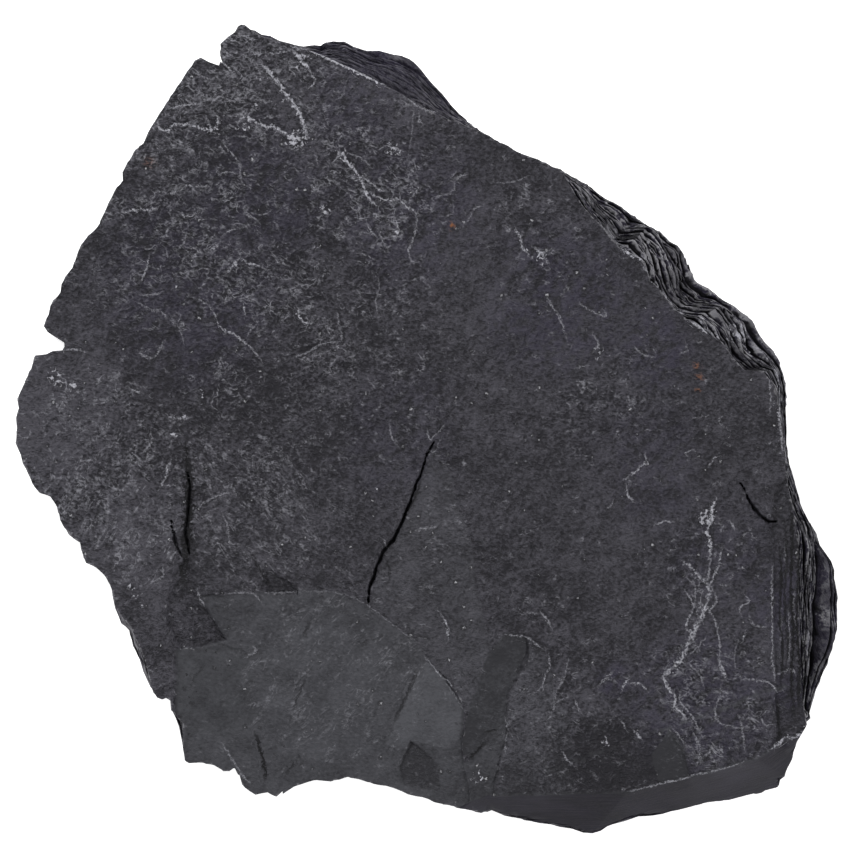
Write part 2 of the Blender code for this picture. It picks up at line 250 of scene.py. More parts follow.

# Lines drawn in the face: points, half width in drawing units, and strength, which is above 0 for
# a pale mineral vein or a chipped white edge and below 0 for a dark seam. A few pale ones are
# painted highlights, such as the rim line below the peak, and many dark ones are painted shadows
# along cracks, steps and grooves.
LINES = (
    # the peak and the rim below it
    (((263, 66), (270, 73), (278, 83), (285, 94), (294, 105), (300, 114), (304, 126),
      (308, 138)), 1.3, 1.0),
    (((159, 124), (162, 131), (170, 132), (175, 126), (182, 126), (192, 127), (202, 130),
      (212, 132), (216, 130), (220, 124), (217, 116)), 1.0, 0.95),
    (((208, 121), (211, 127), (212, 132)), 0.9, 0.7),
    (((240, 123), (245, 117), (256, 123), (266, 128), (276, 129), (286, 135), (292, 140)),
     1.1, 0.95),
    (((169, 111), (180, 108), (190, 106), (198, 105), (204, 108)), 0.9, 0.65),
    (((206, 102), (214, 102), (220, 99), (228, 101), (238, 103), (241, 96), (246, 95)), 0.9, 0.6),
    (((242, 89), (252, 93), (264, 96)), 1.0, 0.5),
    (((254, 100), (266, 103), (274, 104)), 0.9, 0.5),
    (((270, 56), (278, 55), (286, 54), (294, 50), (308, 51)), 1.1, 0.75),
    (((295, 53), (300, 60), (308, 68), (310, 74)), 1.3, 0.85),
    (((312, 77), (316, 83), (311, 88)), 1.1, 0.8),
    (((294, 76), (286, 82), (282, 86)), 0.9, 0.45),
    (((220, 50), (225, 52), (234, 59)), 0.9, 0.6),
    (((220, 50), (219, 60), (227, 67), (235, 76)), 0.9, 0.75),
    (((231, 41), (242, 46)), 0.9, 0.6),
    (((238, 35), (250, 40), (256, 42)), 1.0, 0.7),
    (((192, 72), (202, 78), (212, 81), (220, 77)), 0.9, 0.5),
    (((236, 137), (244, 138), (249, 140)), 0.9, 0.5),
    # the rim line below the peak: a painted highlight along the rim
    (((310, 52), (326, 59), (340, 66), (354, 72), (368, 79), (378, 84), (387, 87)), 0.7, 1.3),
    (((408, 100), (416, 107), (428, 112), (440, 113)), 0.9, 0.6),
    (((348, 80), (345, 88), (344, 96), (336, 102)), 0.8, 0.35),
    (((414, 106), (413, 120), (412, 134), (410, 150)), 0.8, 0.35),
    (((420, 116), (419, 122), (422, 125)), 0.9, 0.6),
    (((334, 134), (344, 135), (338, 142)), 0.9, 0.5),
    # below them, the tangle of veins at the upper left
    (((338, 153), (344, 156), (348, 164), (354, 170), (360, 178), (363, 184), (365, 192),
      (370, 200), (378, 208)), 1.1, 1.0),
    (((360, 178), (368, 182), (378, 190), (386, 192)), 0.9, 0.8),
    (((372, 195), (380, 199), (390, 202), (400, 201), (406, 208), (416, 214)), 1.0, 0.9),
    (((346, 154), (356, 157), (366, 163), (370, 168)), 0.9, 0.5),
    (((380, 151), (388, 146), (394, 150), (402, 152)), 1.0, 0.7),
    (((400, 192), (402, 204), (412, 210), (417, 218), (414, 238), (409, 250), (411, 260)),
     0.9, 0.6),
    (((412, 198), (419, 190), (417, 187)), 0.9, 0.65),
    (((322, 206), (324, 213), (328, 214)), 1.1, 0.9),
    (((312, 186), (316, 189), (313, 193)), 0.9, 0.7),
    (((368, 226), (371, 232), (375, 237)), 1.0, 0.75),
    (((396, 223), (398, 229), (398, 235)), 1.0, 0.9),
    (((372, 215), (383, 218)), 0.9, 0.7),
    (((382, 230), (380, 236), (388, 250)), 0.9, 0.65),
    (((314, 155), (318, 160), (318, 164)), 0.8, 0.5),
    (((334, 164), (338, 158), (346, 156)), 0.9, 0.6),
    (((334, 234), (342, 237), (349, 238)), 0.8, 0.5),
    (((222, 142), (226, 148), (234, 156), (240, 164), (241, 170), (242, 180), (244, 186)),
     0.8, 0.5),
    (((217, 170), (220, 176), (228, 173), (238, 175)), 0.8, 0.5),
    (((152, 206), (158, 193), (170, 195), (182, 192), (188, 187), (200, 188), (210, 187)),
     0.9, 0.6),
    (((120, 214), (140, 211), (150, 212), (160, 208)), 1.0, 0.75),
    (((181, 214), (190, 218), (198, 214)), 1.0, 0.75),
    (((252, 214), (260, 216), (270, 214)), 0.9, 0.55),
    (((246, 178), (252, 176), (260, 178)), 0.8, 0.4),
    (((166, 138), (176, 143), (180, 146)), 0.8, 0.45),
    (((156, 158), (164, 152), (176, 149), (186, 150), (192, 147)), 0.8, 0.4),
    (((188, 232), (185, 244), (178, 252)), 0.9, 0.5),
    (((150, 257), (149, 264), (147, 272), (142, 282)), 0.9, 0.65),
    (((226, 236), (232, 231), (244, 229)), 0.9, 0.55),
    (((226, 275), (234, 267), (240, 260), (250, 264), (264, 268)), 1.0, 0.7),
    (((140, 295), (150, 296), (164, 293)), 0.9, 0.5),
    (((140, 304), (152, 310), (162, 312), (168, 318)), 0.9, 0.5),
    (((210, 306), (216, 316), (220, 326), (226, 331), (236, 335), (244, 342), (252, 348),
      (262, 361)), 0.9, 0.7),
    (((244, 304), (246, 312), (246, 316)), 1.0, 0.75),
    (((172, 318), (180, 328), (185, 344)), 0.8, 0.45),
    (((200, 300), (208, 305)), 0.9, 0.55),
    (((248, 336), (252, 330), (260, 322)), 0.8, 0.5),
    (((222, 284), (228, 282), (234, 290)), 0.8, 0.4),
    (((299, 310), (300, 318), (306, 324), (312, 324)), 1.0, 0.9),
    (((294, 358), (308, 353), (322, 345), (338, 342)), 0.9, 0.55),
    (((338, 314), (339, 324), (342, 334), (342, 341)), 0.9, 0.5),
    (((376, 276), (380, 286), (376, 302), (378, 314)), 0.8, 0.45),
    (((358, 254), (366, 256), (374, 260)), 0.8, 0.5),
    (((326, 326), (334, 332)), 0.9, 0.6),
    # the middle of the top edge and the smooth right side
    (((453, 183), (459, 178), (466, 176)), 0.9, 0.5),
    (((453, 183), (455, 190), (449, 193)), 0.8, 0.45),
    (((430, 200), (444, 196), (454, 195)), 0.8, 0.4),
    (((484, 206), (474, 210), (470, 218), (462, 228)), 0.8, 0.4),
    (((494, 184), (512, 183), (528, 177)), 0.8, 0.4),
    (((515, 231), (520, 239), (522, 248), (528, 256)), 1.0, 0.8),
    (((534, 249), (542, 256), (547, 263)), 1.2, 0.85),
    (((545, 296), (552, 308), (558, 316), (562, 326), (566, 338)), 1.0, 0.5),
    (((579, 304), (588, 310), (598, 315), (605, 318), (604, 312)), 0.8, 0.5),
    (((572, 238), (582, 238)), 0.7, 0.4),
    (((593, 336), (598, 346), (592, 352)), 0.9, 0.55),
    (((576, 382), (584, 381), (591, 379)), 0.8, 0.5),
    (((634, 348), (644, 356), (654, 357)), 0.9, 0.5),
    (((685, 346), (686, 352), (680, 353)), 0.9, 0.55),
    (((577, 368), (586, 366)), 0.8, 0.55),
    (((566, 402), (570, 408)), 0.8, 0.45),
    (((624, 479), (634, 472), (640, 466), (646, 462), (644, 454)), 1.0, 0.75),
    (((625, 487), (628, 496), (632, 500)), 1.0, 0.65),
    (((686, 457), (685, 454), (690, 450), (696, 451)), 0.8, 0.6),
    (((709, 465), (712, 458), (716, 457)), 0.9, 0.65),
    (((721, 416), (718, 422), (724, 428)), 0.9, 0.5),
    (((688, 420), (698, 417), (708, 416)), 0.8, 0.4),
    (((656, 524), (662, 521), (670, 521)), 1.0, 0.65),
    (((608, 508), (612, 502)), 0.8, 0.5),
    # the bundle of veins at the right
    (((714, 500), (711, 508), (710, 518), (706, 530), (709, 544), (708, 558)), 1.4, 0.95),
    (((682, 561), (689, 566), (698, 576), (706, 584), (709, 594)), 1.3, 0.8),
    (((709, 590), (705, 604), (701, 614), (694, 628), (686, 646), (678, 661), (668, 670),
      (662, 676)), 1.9, 0.85),
    (((662, 676), (665, 683), (669, 690), (674, 695), (673, 704), (683, 714), (684, 718)),
     1.1, 0.9),
    (((720, 548), (718, 560), (715, 570), (710, 580), (708, 586)), 1.0, 0.7),
    (((708, 561), (708, 572), (705, 580)), 0.9, 0.55),
    (((710, 588), (716, 600), (711, 606), (708, 610), (713, 618), (716, 630), (719, 648),
      (718, 664), (724, 678)), 0.9, 0.6),
    (((684, 590), (690, 600), (692, 608), (686, 620), (685, 628), (690, 632)), 0.9, 0.65),
    (((688, 580), (693, 582), (694, 594), (693, 604)), 0.8, 0.5),
    (((700, 600), (701, 612), (698, 620), (692, 640)), 0.9, 0.6),
    (((704, 637), (698, 644), (688, 654)), 0.8, 0.5),
    (((744, 594), (747, 602), (738, 606), (740, 614)), 0.8, 0.55),
    (((744, 631), (741, 640)), 0.9, 0.65),
    (((747, 616), (754, 625), (764, 626)), 0.9, 0.5),
    (((735, 644), (733, 658), (734, 668)), 0.8, 0.4),
    (((686, 661), (692, 667), (700, 676), (702, 685)), 0.9, 0.5),
    (((679, 692), (680, 702), (690, 714), (698, 728)), 0.9, 0.6),
    (((673, 729), (679, 736), (683, 742)), 1.0, 0.75),
    (((691, 730), (698, 744), (698, 754), (696, 762)), 0.9, 0.6),
    (((710, 740), (720, 753)), 0.9, 0.55),
    (((716, 698), (714, 714), (720, 722), (734, 726)), 0.9, 0.5),
    (((738, 714), (741, 730), (743, 748)), 0.9, 0.6),
    (((740, 678), (754, 679), (764, 680), (772, 685), (775, 691)), 0.9, 0.65),
    (((775, 674), (784, 670), (790, 667), (794, 673)), 0.9, 0.55),
    (((771, 566), (770, 600), (771, 641), (770, 656), (772, 668), (773, 678)), 0.8, 0.6),
    (((808, 642), (808, 660), (810, 680), (811, 694)), 0.9, 0.6),
    (((770, 747), (776, 743), (783, 736), (788, 737), (796, 735), (804, 729)), 1.2, 0.85),
    (((718, 660), (725, 678)), 0.9, 0.7),
    (((726, 724), (738, 727), (748, 723)), 0.8, 0.5),
    (((759, 716), (763, 724), (772, 723)), 0.8, 0.55),
    (((713, 708), (715, 718), (722, 724)), 0.8, 0.55),
    (((720, 684), (718, 696), (714, 706)), 0.8, 0.5),
    (((630, 789), (652, 784), (668, 780), (682, 777), (694, 773), (710, 770), (728, 765),
      (742, 761)), 0.8, 0.6),
    # round the freshly split floors
    (((540, 611), (546, 618), (551, 626)), 0.9, 0.6),
    (((526, 612), (538, 613)), 0.9, 0.4),
    (((508, 634), (518, 635), (528, 637), (534, 642), (540, 647)), 0.9, 0.7),
    (((548, 654), (549, 666), (544, 676), (542, 688)), 0.9, 0.6),
    (((505, 718), (508, 728), (505, 740), (505, 750)), 0.8, 0.5),
    (((534, 692), (544, 684)), 0.8, 0.5),
    (((554, 696), (553, 708), (548, 718)), 0.8, 0.5),
    (((567, 660), (564, 676), (556, 690), (552, 702)), 0.8, 0.5),
    (((574, 698), (578, 708), (580, 711)), 0.8, 0.55),
    (((562, 750), (566, 758), (571, 762)), 0.9, 0.6),
    (((600, 682), (610, 672)), 1.0, 0.6),
    (((621, 688), (626, 678)), 1.0, 0.7),
    (((630, 682), (638, 682), (646, 689)), 0.9, 0.7),
    (((620, 720), (626, 728)), 0.9, 0.55),
    (((633, 729), (640, 738)), 1.0, 0.7),
    (((440, 611), (445, 620), (448, 628), (448, 636)), 1.0, 0.75),
    (((425, 656), (440, 674), (448, 680), (453, 688)), 0.8, 0.6),
    (((446, 682), (456, 696), (464, 710)), 0.8, 0.4),
    (((299, 590), (338, 592), (362, 601), (386, 618), (404, 632), (417, 641)), 0.7, 0.35),
    (((224, 593), (248, 592), (256, 594), (262, 601)), 0.8, 0.5),
    (((266, 592), (282, 592), (298, 591)), 0.8, 0.55),
    (((384, 540), (388, 548)), 1.0, 0.65),
    (((418, 530), (428, 527), (436, 526)), 1.0, 0.55),
    (((427, 455), (436, 450), (439, 440)), 0.8, 0.5),
    (((398, 446), (392, 438), (390, 426)), 0.8, 0.45),
    (((428, 432), (430, 440), (438, 432), (444, 426)), 0.8, 0.55),
    (((255, 646), (257, 650), (248, 656)), 0.9, 0.45),
    (((224, 744), (236, 762), (243, 774), (251, 781)), 1.0, 0.45),
    # the left side
    (((130, 388), (136, 391), (142, 393)), 1.0, 0.65),
    (((126, 382), (134, 384), (140, 386), (150, 388)), 0.8, 0.35),
    (((170, 416), (180, 419), (189, 418)), 1.2, 0.7),
    (((152, 432), (153, 440), (149, 448), (144, 452)), 1.2, 0.55),
    (((172, 461), (168, 468), (169, 474), (165, 481), (161, 488)), 0.9, 0.8),
    (((166, 486), (175, 485), (177, 488)), 0.9, 0.65),
    (((197, 510), (206, 502), (220, 495), (230, 492)), 0.9, 0.5),
    (((224, 514), (229, 526), (230, 538), (232, 543), (240, 544)), 0.9, 0.5),
    (((58, 404), (62, 402), (67, 406), (64, 409), (59, 408), (58, 404)), 0.9, 0.5),
    (((58, 351), (78, 350), (88, 353)), 0.9, 0.55),
    (((22, 436), (30, 438), (32, 432)), 0.9, 0.5),
    (((139, 352), (147, 357), (156, 357), (166, 341)), 0.9, 0.5),
    (((164, 566), (164, 576), (152, 582)), 0.9, 0.5),
    (((198, 588), (201, 598), (205, 605)), 0.9, 0.6),
    # chips along the top of the right flank
    (((598, 222), (610, 236), (620, 247)), 1.0, 0.6),
    (((620, 247), (630, 254), (642, 259)), 1.7, 1.0),
    (((642, 267), (652, 280), (660, 290), (672, 305), (686, 319)), 0.9, 0.75),
    (((686, 319), (700, 328), (712, 335), (719, 339)), 1.4, 0.95),
    (((738, 330), (752, 345), (768, 352), (776, 366)), 2.6, 0.7),
    # dark seams of the face, many of them painted shadows along small cracks and steps
    (((176, 283), (173, 300), (175, 318), (180, 341), (180, 380), (184, 420), (187, 450)),
     2.4, -0.45),
    (((187, 444), (188, 458), (189, 474)), 1.5, -1.0),
    (((421, 482), (414, 500), (406, 513)), 1.0, -0.9),
    (((427, 455), (434, 451), (438, 445)), 0.8, -0.6),
    (((387, 560), (390, 570), (389, 580)), 1.0, -0.7),
    (((252, 556), (260, 567), (267, 579), (272, 588)), 1.3, -0.85),
    (((470, 578), (480, 600), (484, 626), (489, 648)), 2.0, -0.3),
    (((217, 640), (228, 646), (243, 650), (250, 656)), 1.1, -0.5),
    (((257, 734), (261, 748), (266, 766), (266, 778)), 1.5, -1.0),
    (((295, 761), (287, 773)), 1.1, -0.7),
    (((310, 622), (304, 635)), 1.1, -0.7),
    (((306, 679), (299, 694), (295, 706)), 1.0, -0.7),
    (((208, 662), (196, 676), (190, 690)), 1.0, -0.5),
    (((419, 666), (408, 692), (395, 720)), 1.3, -0.75),
    (((395, 720), (389, 735), (383, 748)), 1.1, -0.4),
    (((496, 727), (486, 731)), 0.9, -0.9),
    (((484, 743), (478, 748), (470, 757)), 1.2, -0.95),
    (((668, 728), (676, 742), (684, 758), (691, 776)), 1.2, -0.6),
    (((150, 352), (158, 380), (163, 400)), 1.2, -0.35),
    (((115, 408), (119, 414), (124, 418), (125, 428), (125, 440), (124, 448), (129, 456),
      (138, 468)), 0.9, -0.6),
    (((138, 468), (144, 476), (150, 480)), 0.9, -0.5),
    (((83, 470), (81, 476), (77, 486)), 0.9, -0.6),
    (((104, 500), (96, 520), (95, 536)), 1.0, -0.6),
    (((131, 616), (134, 622)), 1.2, -0.7),
    (((362, 538), (368, 546)), 0.9, -0.5),
    # pale and dark layers of the right flank and of the sunk ledge below it, the dark ones painted
    # shade in its grooves
    (((770, 352), (777, 372), (779, 395), (778, 420), (781, 450)), 1.3, 0.75),
    (((762, 360), (767, 378), (769, 398), (768, 412)), 0.9, 0.5),
    (((785, 400), (787, 430), (787, 462), (790, 490)), 1.1, 0.6),
    (((778, 545), (780, 580), (778, 612), (781, 646), (779, 690)), 1.1, -0.95),
    (((783, 520), (785, 556), (783, 600), (786, 640), (785, 668)), 1.0, -0.85),
    (((789, 500), (791, 540), (789, 584), (792, 630), (790, 676), (792, 712)), 1.3, -1.0),
    (((796, 540), (797, 580), (795, 620), (798, 664), (797, 700)), 1.2, -1.0),
    (((802, 530), (804, 580), (802, 622), (804, 664), (802, 706)), 1.1, -0.9),
    (((808, 560), (810, 600), (808, 640), (808, 676)), 0.9, 0.5),
    (((800, 556), (801, 600), (800, 640)), 0.7, 0.5),
    (((787, 610), (788, 640), (787, 662)), 0.7, 0.5),
    (((796, 672), (796, 688), (797, 706)), 1.0, -0.9),
    (((775, 698), (777, 718), (779, 738)), 1.1, -0.95),
    (((784, 540), (783, 556), (785, 572)), 0.8, 0.35),
    (((793, 590), (792, 606), (794, 624)), 0.9, 0.4),
    (((779, 610), (780, 630), (778, 642)), 0.8, 0.35),
    # the shadow in and beside the open crack at the left
    (((188, 452), (190, 480), (190, 505), (189, 524), (187, 548), (185, 570), (184, 590)),
     4.0, -1.0),
    (((194, 540), (195, 556), (196, 572), (197, 590)), 3.0, -0.6),
)
# Lines that come closer than LINE_SPACE drawing units go into different sets
LINE_SETS = 6
LINE_SPACE = 11.0
# A line marks the points up to LINE_REACH from it and fades over LINE_FADE; LINE_TIP of its
# strength is left at its ends, and faint lines are made fainter by the power FAINTNESS
LINE_REACH = 0.8 * MM
LINE_FADE = 0.5 * MM
LINE_TIP = 0.3
FAINTNESS = 0.7

# Soft round zones: middle, radius in drawing units and strength
TOP_FLANK = (((335, 55), 34, 1.0), ((372, 64), 38, 1.0), ((410, 80), 38, 1.0),
             ((445, 105), 28, 0.8))
ZONES = {
    "veined": (((235, 130), 150, 0.85), ((360, 190), 110, 0.85), ((180, 250), 130, 0.8),
               ((330, 320), 130, 0.6), ((540, 230), 60, 0.5), ((705, 560), 60, 0.4),
               ((710, 700), 90, 0.55), ((560, 720), 90, 0.35), ((620, 410), 70, 0.3),
               ((110, 470), 110, 0.6), ((255, 460), 110, 0.4), ((450, 100), 60, 0.5),
               ((210, 385), 50, 0.6), ((430, 440), 50, 0.4), ((60, 400), 50, 0.45)),
    "slanted": (((250, 510), 120, 1.0), ((330, 670), 150, 0.8), ((440, 540), 70, 0.7),
                ((130, 520), 90, 0.6), ((530, 720), 60, 0.5)),
    "upright": (((100, 490), 80, 0.9), ((145, 545), 70, 0.9), ((60, 440), 50, 0.5),
                ((150, 450), 50, 0.6)),
    "even": (*TOP_FLANK, ((834, 560), 22, 1.0), ((836, 600), 24, 1.0), ((832, 645), 22, 1.0)),
    "crumpled": TOP_FLANK,
    "violet": (((190, 290), 110, 0.7), ((410, 210), 90, 0.7), ((560, 300), 90, 0.8),
               ((650, 470), 70, 0.5), ((700, 700), 90, 0.9), ((400, 430), 80, 0.4),
               ((260, 200), 90, 0.6), ((720, 560), 70, 0.5), ((655, 345), 50, 0.9),
               ((612, 680), 22, 1.0), ((360, 110), 60, 0.5), ((788, 600), 50, 0.8),
               ((790, 690), 34, 0.7)),
    "sparkle": (((300, 142), 20, 1.0), ((62, 390), 28, 0.8), ((762, 345), 28, 1.0),
                ((478, 774), 15, 0.9), ((364, 228), 14, 0.8), ((205, 395), 14, 0.6),
                ((620, 610), 40, 0.4), ((545, 600), 30, 0.6), ((80, 590), 40, 0.4)),
    "powdered": (((299, 139), 15, 1.0), ((243, 127), 11, 0.7), ((341, 155), 8, 0.9),
                 ((391, 151), 11, 0.7), ((541, 257), 11, 0.9), ((599, 354), 11, 0.5),
                 ((56, 377), 12, 0.9), ((72, 388), 9, 0.9), ((182, 418), 11, 0.7),
                 ((176, 435), 5, 1.0), ((477, 775), 10, 0.8), ((603, 742), 8, 0.9),
                 ((705, 516), 13, 1.0), ((304, 63), 13, 0.8), ((765, 348), 26, 0.9),
                 ((738, 333), 17, 1.0), ((639, 258), 6, 1.0),
                 ((704, 320), 10, 0.7), ((753, 318), 10, 0.6), ((778, 400), 10, 0.5),
                 ((132, 588), 5, 0.9), ((143, 600), 11, 0.6), ((256, 106), 8, 0.6),
                 ((327, 210), 6, 0.8), ((376, 488), 8, 0.5), ((267, 78), 9, 0.5),
                 ((286, 102), 8, 0.6), ((150, 448), 8, 0.6), ((180, 288), 5, 0.8),
                 ((62, 406), 9, 0.5), ((24, 458), 9, 0.6), ((204, 395), 10, 0.4)),
    "rust": (((695, 366), 3.5, 0.7), ((697, 377), 4, 0.7), ((696, 390), 3.5, 0.6),
             ((451, 227), 4, 1.0), ((152, 164), 7, 0.3)),
    # painted light on the lower left side of the edge, where it faces the light
    "painted_lit_edge": (((112, 592), 30, 0.9), ((132, 636), 32, 1.0), ((148, 680), 24, 0.9),
                  ((22, 460), 14, 0.6)),
}
# Between these shares of the thickness the marks of the face fade in, going up; the zones of
# NEAR_BACK_ZONES and the lines reach further down, and those of ALL_ROUND_ZONES down to the back
FACE_FADE = (0.55, 0.75)
NEAR_BACK_FADE = (0.12, 0.3)
NEAR_BACK_ZONES = ("powdered",)
ALL_ROUND_ZONES = ("painted_lit_edge", "even", "crumpled")
# Round zones for the tone, where a strength below 0 is darker. Some paint light and shade: the
# bulge at the left edge is painted lighter where the light falls on it, and the fracture at the
# bottom, the dark slip, the left crack, the pocket, the dark notch and the sunk ledge at the right
# are painted darker, as shade.
TONES = (
    ((60, 420), 72, 0.75), ((130, 545), 80, 0.34), ((80, 490), 60, 0.2), ((330, 640), 90, 0.04),
    ((560, 735), 70, 0.12), ((735, 640), 90, 0.26), ((700, 700), 70, 0.2), ((310, 90), 80, 0.14),
    ((430, 120), 80, 0.12), ((762, 350), 26, 0.4), ((370, 60), 60, 0.3), ((425, 80), 40, 0.3),
    ((120, 330), 70, 0.06),
    ((250, 395), 60, -0.2), ((188, 606), 36, -0.06), ((150, 370), 60, -0.2),
    ((600, 350), 110, 0.05), ((285, 580), 22, -0.3), ((186, 540), 18, -0.3),
    ((425, 770), 22, -0.2), ((330, 555), 60, -0.1), ((470, 785), 24, -0.2), ((300, 470), 70, -0.1),
    ((600, 680), 70, -0.05), ((600, 812), 110, -0.55), ((205, 690), 40, -0.1),
    ((230, 190), 100, -0.3),
    ((793, 555), 26, -0.08), ((792, 605), 26, -0.10), ((792, 655), 26, -0.10),
    ((792, 700), 24, -0.10), ((834, 620), 24, 0.12), ((834, 580), 18, 0.12),
)


class SlabSizes(bpy.types.PropertyGroup):
    """How finely the stone is worked."""

    cells: bpy.props.IntProperty(
        name="Face cells", description="Grid cells across the face before it is thinned",
        default=470, min=40, max=1200)
    laminae: bpy.props.IntProperty(
        name="Laminae a sheet", default=3, min=1, max=6,
        description="Thin layers that each cleavage sheet shows at the edge")
    chip: bpy.props.FloatProperty(
        name="Edge chips", description="How far the edge of a thin layer is broken back",
        default=0.00036, min=0.0, max=0.005, unit="LENGTH", precision=5)
    riser: bpy.props.FloatProperty(
        name="Step width", description="How wide the step round a flake is, seen from above",
        default=0.00034, min=0.00002, max=0.002, unit="LENGTH", precision=5)
    relief: bpy.props.FloatProperty(
        name="Face relief", description="Height of the small ripples on the old split face",
        default=0.00020, min=0.0, max=0.002, unit="LENGTH", precision=5)
    triangles: bpy.props.IntProperty(
        name="Triangles", description="Most triangles that the finished stone keeps",
        default=194000, min=10000, max=199000)
    evenness: bpy.props.FloatProperty(
        name="Face evenness", description="How strongly long edges on the face are held back",
        default=0.002, min=0.0, max=1.0, precision=4)


def colour(name, description, default):
    """A colour setting."""
    return bpy.props.FloatVectorProperty(name=name, description=description, subtype="COLOR",
                                         size=4, default=(*default, 1.0), min=0.0, max=1.0)


class SlateColours(bpy.types.PropertyGroup):
    """The colours of the stone."""

    dark: colour("Dark body", "The darkest tone of the slate's body", (0.0138, 0.0130, 0.0172))
    light: colour("Light body", "The lightest tone of the slate's body", (0.0640, 0.0618, 0.0748))
    fresh_dark: colour("Fresh shade", "The darkest tone of a newly split floor",
                       (0.0205, 0.0205, 0.0245))
    fresh_light: colour("Fresh split", "The lightest tone of a newly split floor",
                        (0.0660, 0.0675, 0.0765))
    violet: colour("Violet cast", "The violet patches in the body", (0.0320, 0.0275, 0.0520))
    # The vein colour also paints the pale lines of the curling web and the rim line, which are
    # painted highlights.
    vein_and_highlight: colour("Veins", "The thin mineral veins", (0.450, 0.450, 0.500))
    # The speck colour is a painted glint of the mica flakes.
    mica_glint: colour("Specks", "Flakes of mica that catch the light", (0.50, 0.50, 0.53))
    powder_and_edge_light: colour("Broken edges", "Powdery broken edges of the thin layers", (0.265, 0.262, 0.280))
    # The broken-edge colour paints pale powder together with a painted highlight on edges that
    # stand out, and painted light on the lower left side.
    rust: colour("Rust", "The few rusty stains", (0.22, 0.085, 0.032))
    # The cleft colour paints dirt together with painted shade in hollows and clefts, painted
    # shadows along cracks and steps, and painted shade round the mica specks.
    cleft_dirt_and_shade: colour("Clefts", "Dirt in the seams and clefts", (0.0045, 0.0042, 0.0055))


class StageSettings(bpy.types.PropertyGroup):
    """The floor, the light and the camera."""

    lens: bpy.props.FloatProperty(
        name="Lens", description="Focal length of the camera that looks straight down",
        default=300.0, min=50.0, max=600.0, unit="CAMERA")
    key_power: bpy.props.FloatProperty(
        name="Key light", description="Power of the soft light at the upper left",
        default=6.0, min=0.0, max=200.0, unit="POWER")
    floor_glow: bpy.props.FloatProperty(
        name="Floor glow", description="Light that the pale floor gives off itself",
        default=0.80, min=0.0, max=2.0)
    sky: bpy.props.FloatProperty(
        name="Sky", description="Strength of the even light from all round", default=0.62,
        min=0.0, max=5.0)


# ------------------------------------------------------------------ plan and lines

def place(points):
    """Points of the plan in metres, with y upwards and the origin in the slab's middle."""
    flat = np.asarray(points, float).reshape(-1, 2)
    return (flat - PLAN_MIDDLE) * (UNIT, -UNIT)


HEART_AT = place(HEART)[0]


def ease(value, low, high):
    """0 at or below low and 1 at or above high, along the curve 3t^2 - 2t^3 between."""
    share = np.clip((value - low) / (high - low), 0.0, 1.0)
    return share * share * (3.0 - 2.0 * share)


def at_reach(reach, bearings):
    """Places at a distance from the slab's heart along each bearing."""
    return HEART_AT[0] + reach * np.cos(bearings), HEART_AT[1] + reach * np.sin(bearings)


def polar(points):
    """Bearing and distance of points seen from the slab's heart."""
    offset = points - HEART_AT
    return np.arctan2(offset[:, 1], offset[:, 0]), np.hypot(offset[:, 0], offset[:, 1])


def outline_reach(bearings, points):
    """How far a closed outline runs from the heart along each bearing.

    The two corners on either side of the bearing are joined by a straight line, and the
    ray from the heart is cut with it.
    """
    corner_bearing, corner_reach = polar(place(points))
    order = np.argsort(corner_bearing)
    angle = corner_bearing[order]
    reach = corner_reach[order]
    angle = np.concatenate((angle[-1:] - math.tau, angle, angle[:1] + math.tau))
    reach = np.concatenate((reach[-1:], reach, reach[:1]))
    after = np.clip(np.searchsorted(angle, bearings), 1, len(angle) - 1)
    a, b = angle[after - 1], angle[after]
    p, q = reach[after - 1], reach[after]
    return p * q * np.sin(b - a) / (p * np.sin(bearings - a) + q * np.sin(b - bearings))


def stretch_reach(bearings, stretch, otherwise):
    """How far an open stretch of edge runs along each bearing, or another reach outside it."""
    angle, reach = polar(place(stretch))
    angle = np.unwrap(angle)
    order = np.argsort(angle)
    angle, reach = angle[order], reach[order]
    result = np.array(otherwise, float)
    for turn in (-math.tau, 0.0, math.tau):
        turned = bearings + turn
        covered = (turned >= angle[0]) & (turned <= angle[-1])
        result[covered] = np.interp(turned[covered], angle, reach)
    return result


def chain_distance(x, y, chain, closed=False):
    """Distance to a chain of straight stretches, the side of it, and the share along it.

    Every point is dropped square onto each stretch, held between its ends, and the
    nearest stretch wins. The side is the sign of the cross product with that stretch.
    """
    nearest = np.full(x.shape, np.inf)
    side = np.ones(x.shape)
    share = np.zeros(x.shape)
    starts = chain if closed else chain[:-1]
    ends = np.roll(chain, -1, axis=0) if closed else chain[1:]
    for number, (start, end) in enumerate(zip(starts, ends)):
        along = end - start
        from_x, from_y = x - start[0], y - start[1]
        held = np.clip((from_x * along[0] + from_y * along[1]) / (along @ along), 0.0, 1.0)
        away = np.hypot(from_x - held * along[0], from_y - held * along[1])
        closer = away < nearest
        nearest = np.where(closer, away, nearest)
        side = np.where(closer, np.sign(along[0] * from_y - along[1] * from_x), side)
        share = np.where(closer, (number + held) / len(starts), share)
    return nearest, side, share


def inside_outline(x, y, corners):
    """True inside a closed outline: a ray to +X crosses its sides an odd number of times."""
    odd = np.zeros(x.shape, bool)
    for start, end in zip(corners, np.roll(corners, -1, axis=0)):
        spans = (start[1] > y) != (end[1] > y)
        if start[1] != end[1]:
            crossing = start[0] + (y - start[1]) * (end[0] - start[0]) / (end[1] - start[1])
            odd ^= spans & (x < crossing)
    return odd


def signed_depth(x, y, corners):
    """Distance to a closed outline, positive inside it and negative outside."""
    away, _side, _share = chain_distance(x, y, corners, closed=True)
    return np.where(inside_outline(x, y, corners), away, -away)


def near_chain(x, y, chain, margin):
    """The points that lie in a chain's box, made wider by a margin."""
    low, high = chain.min(axis=0) - margin, chain.max(axis=0) + margin
    return (x > low[0]) & (x < high[0]) & (y > low[1]) & (y < high[1])


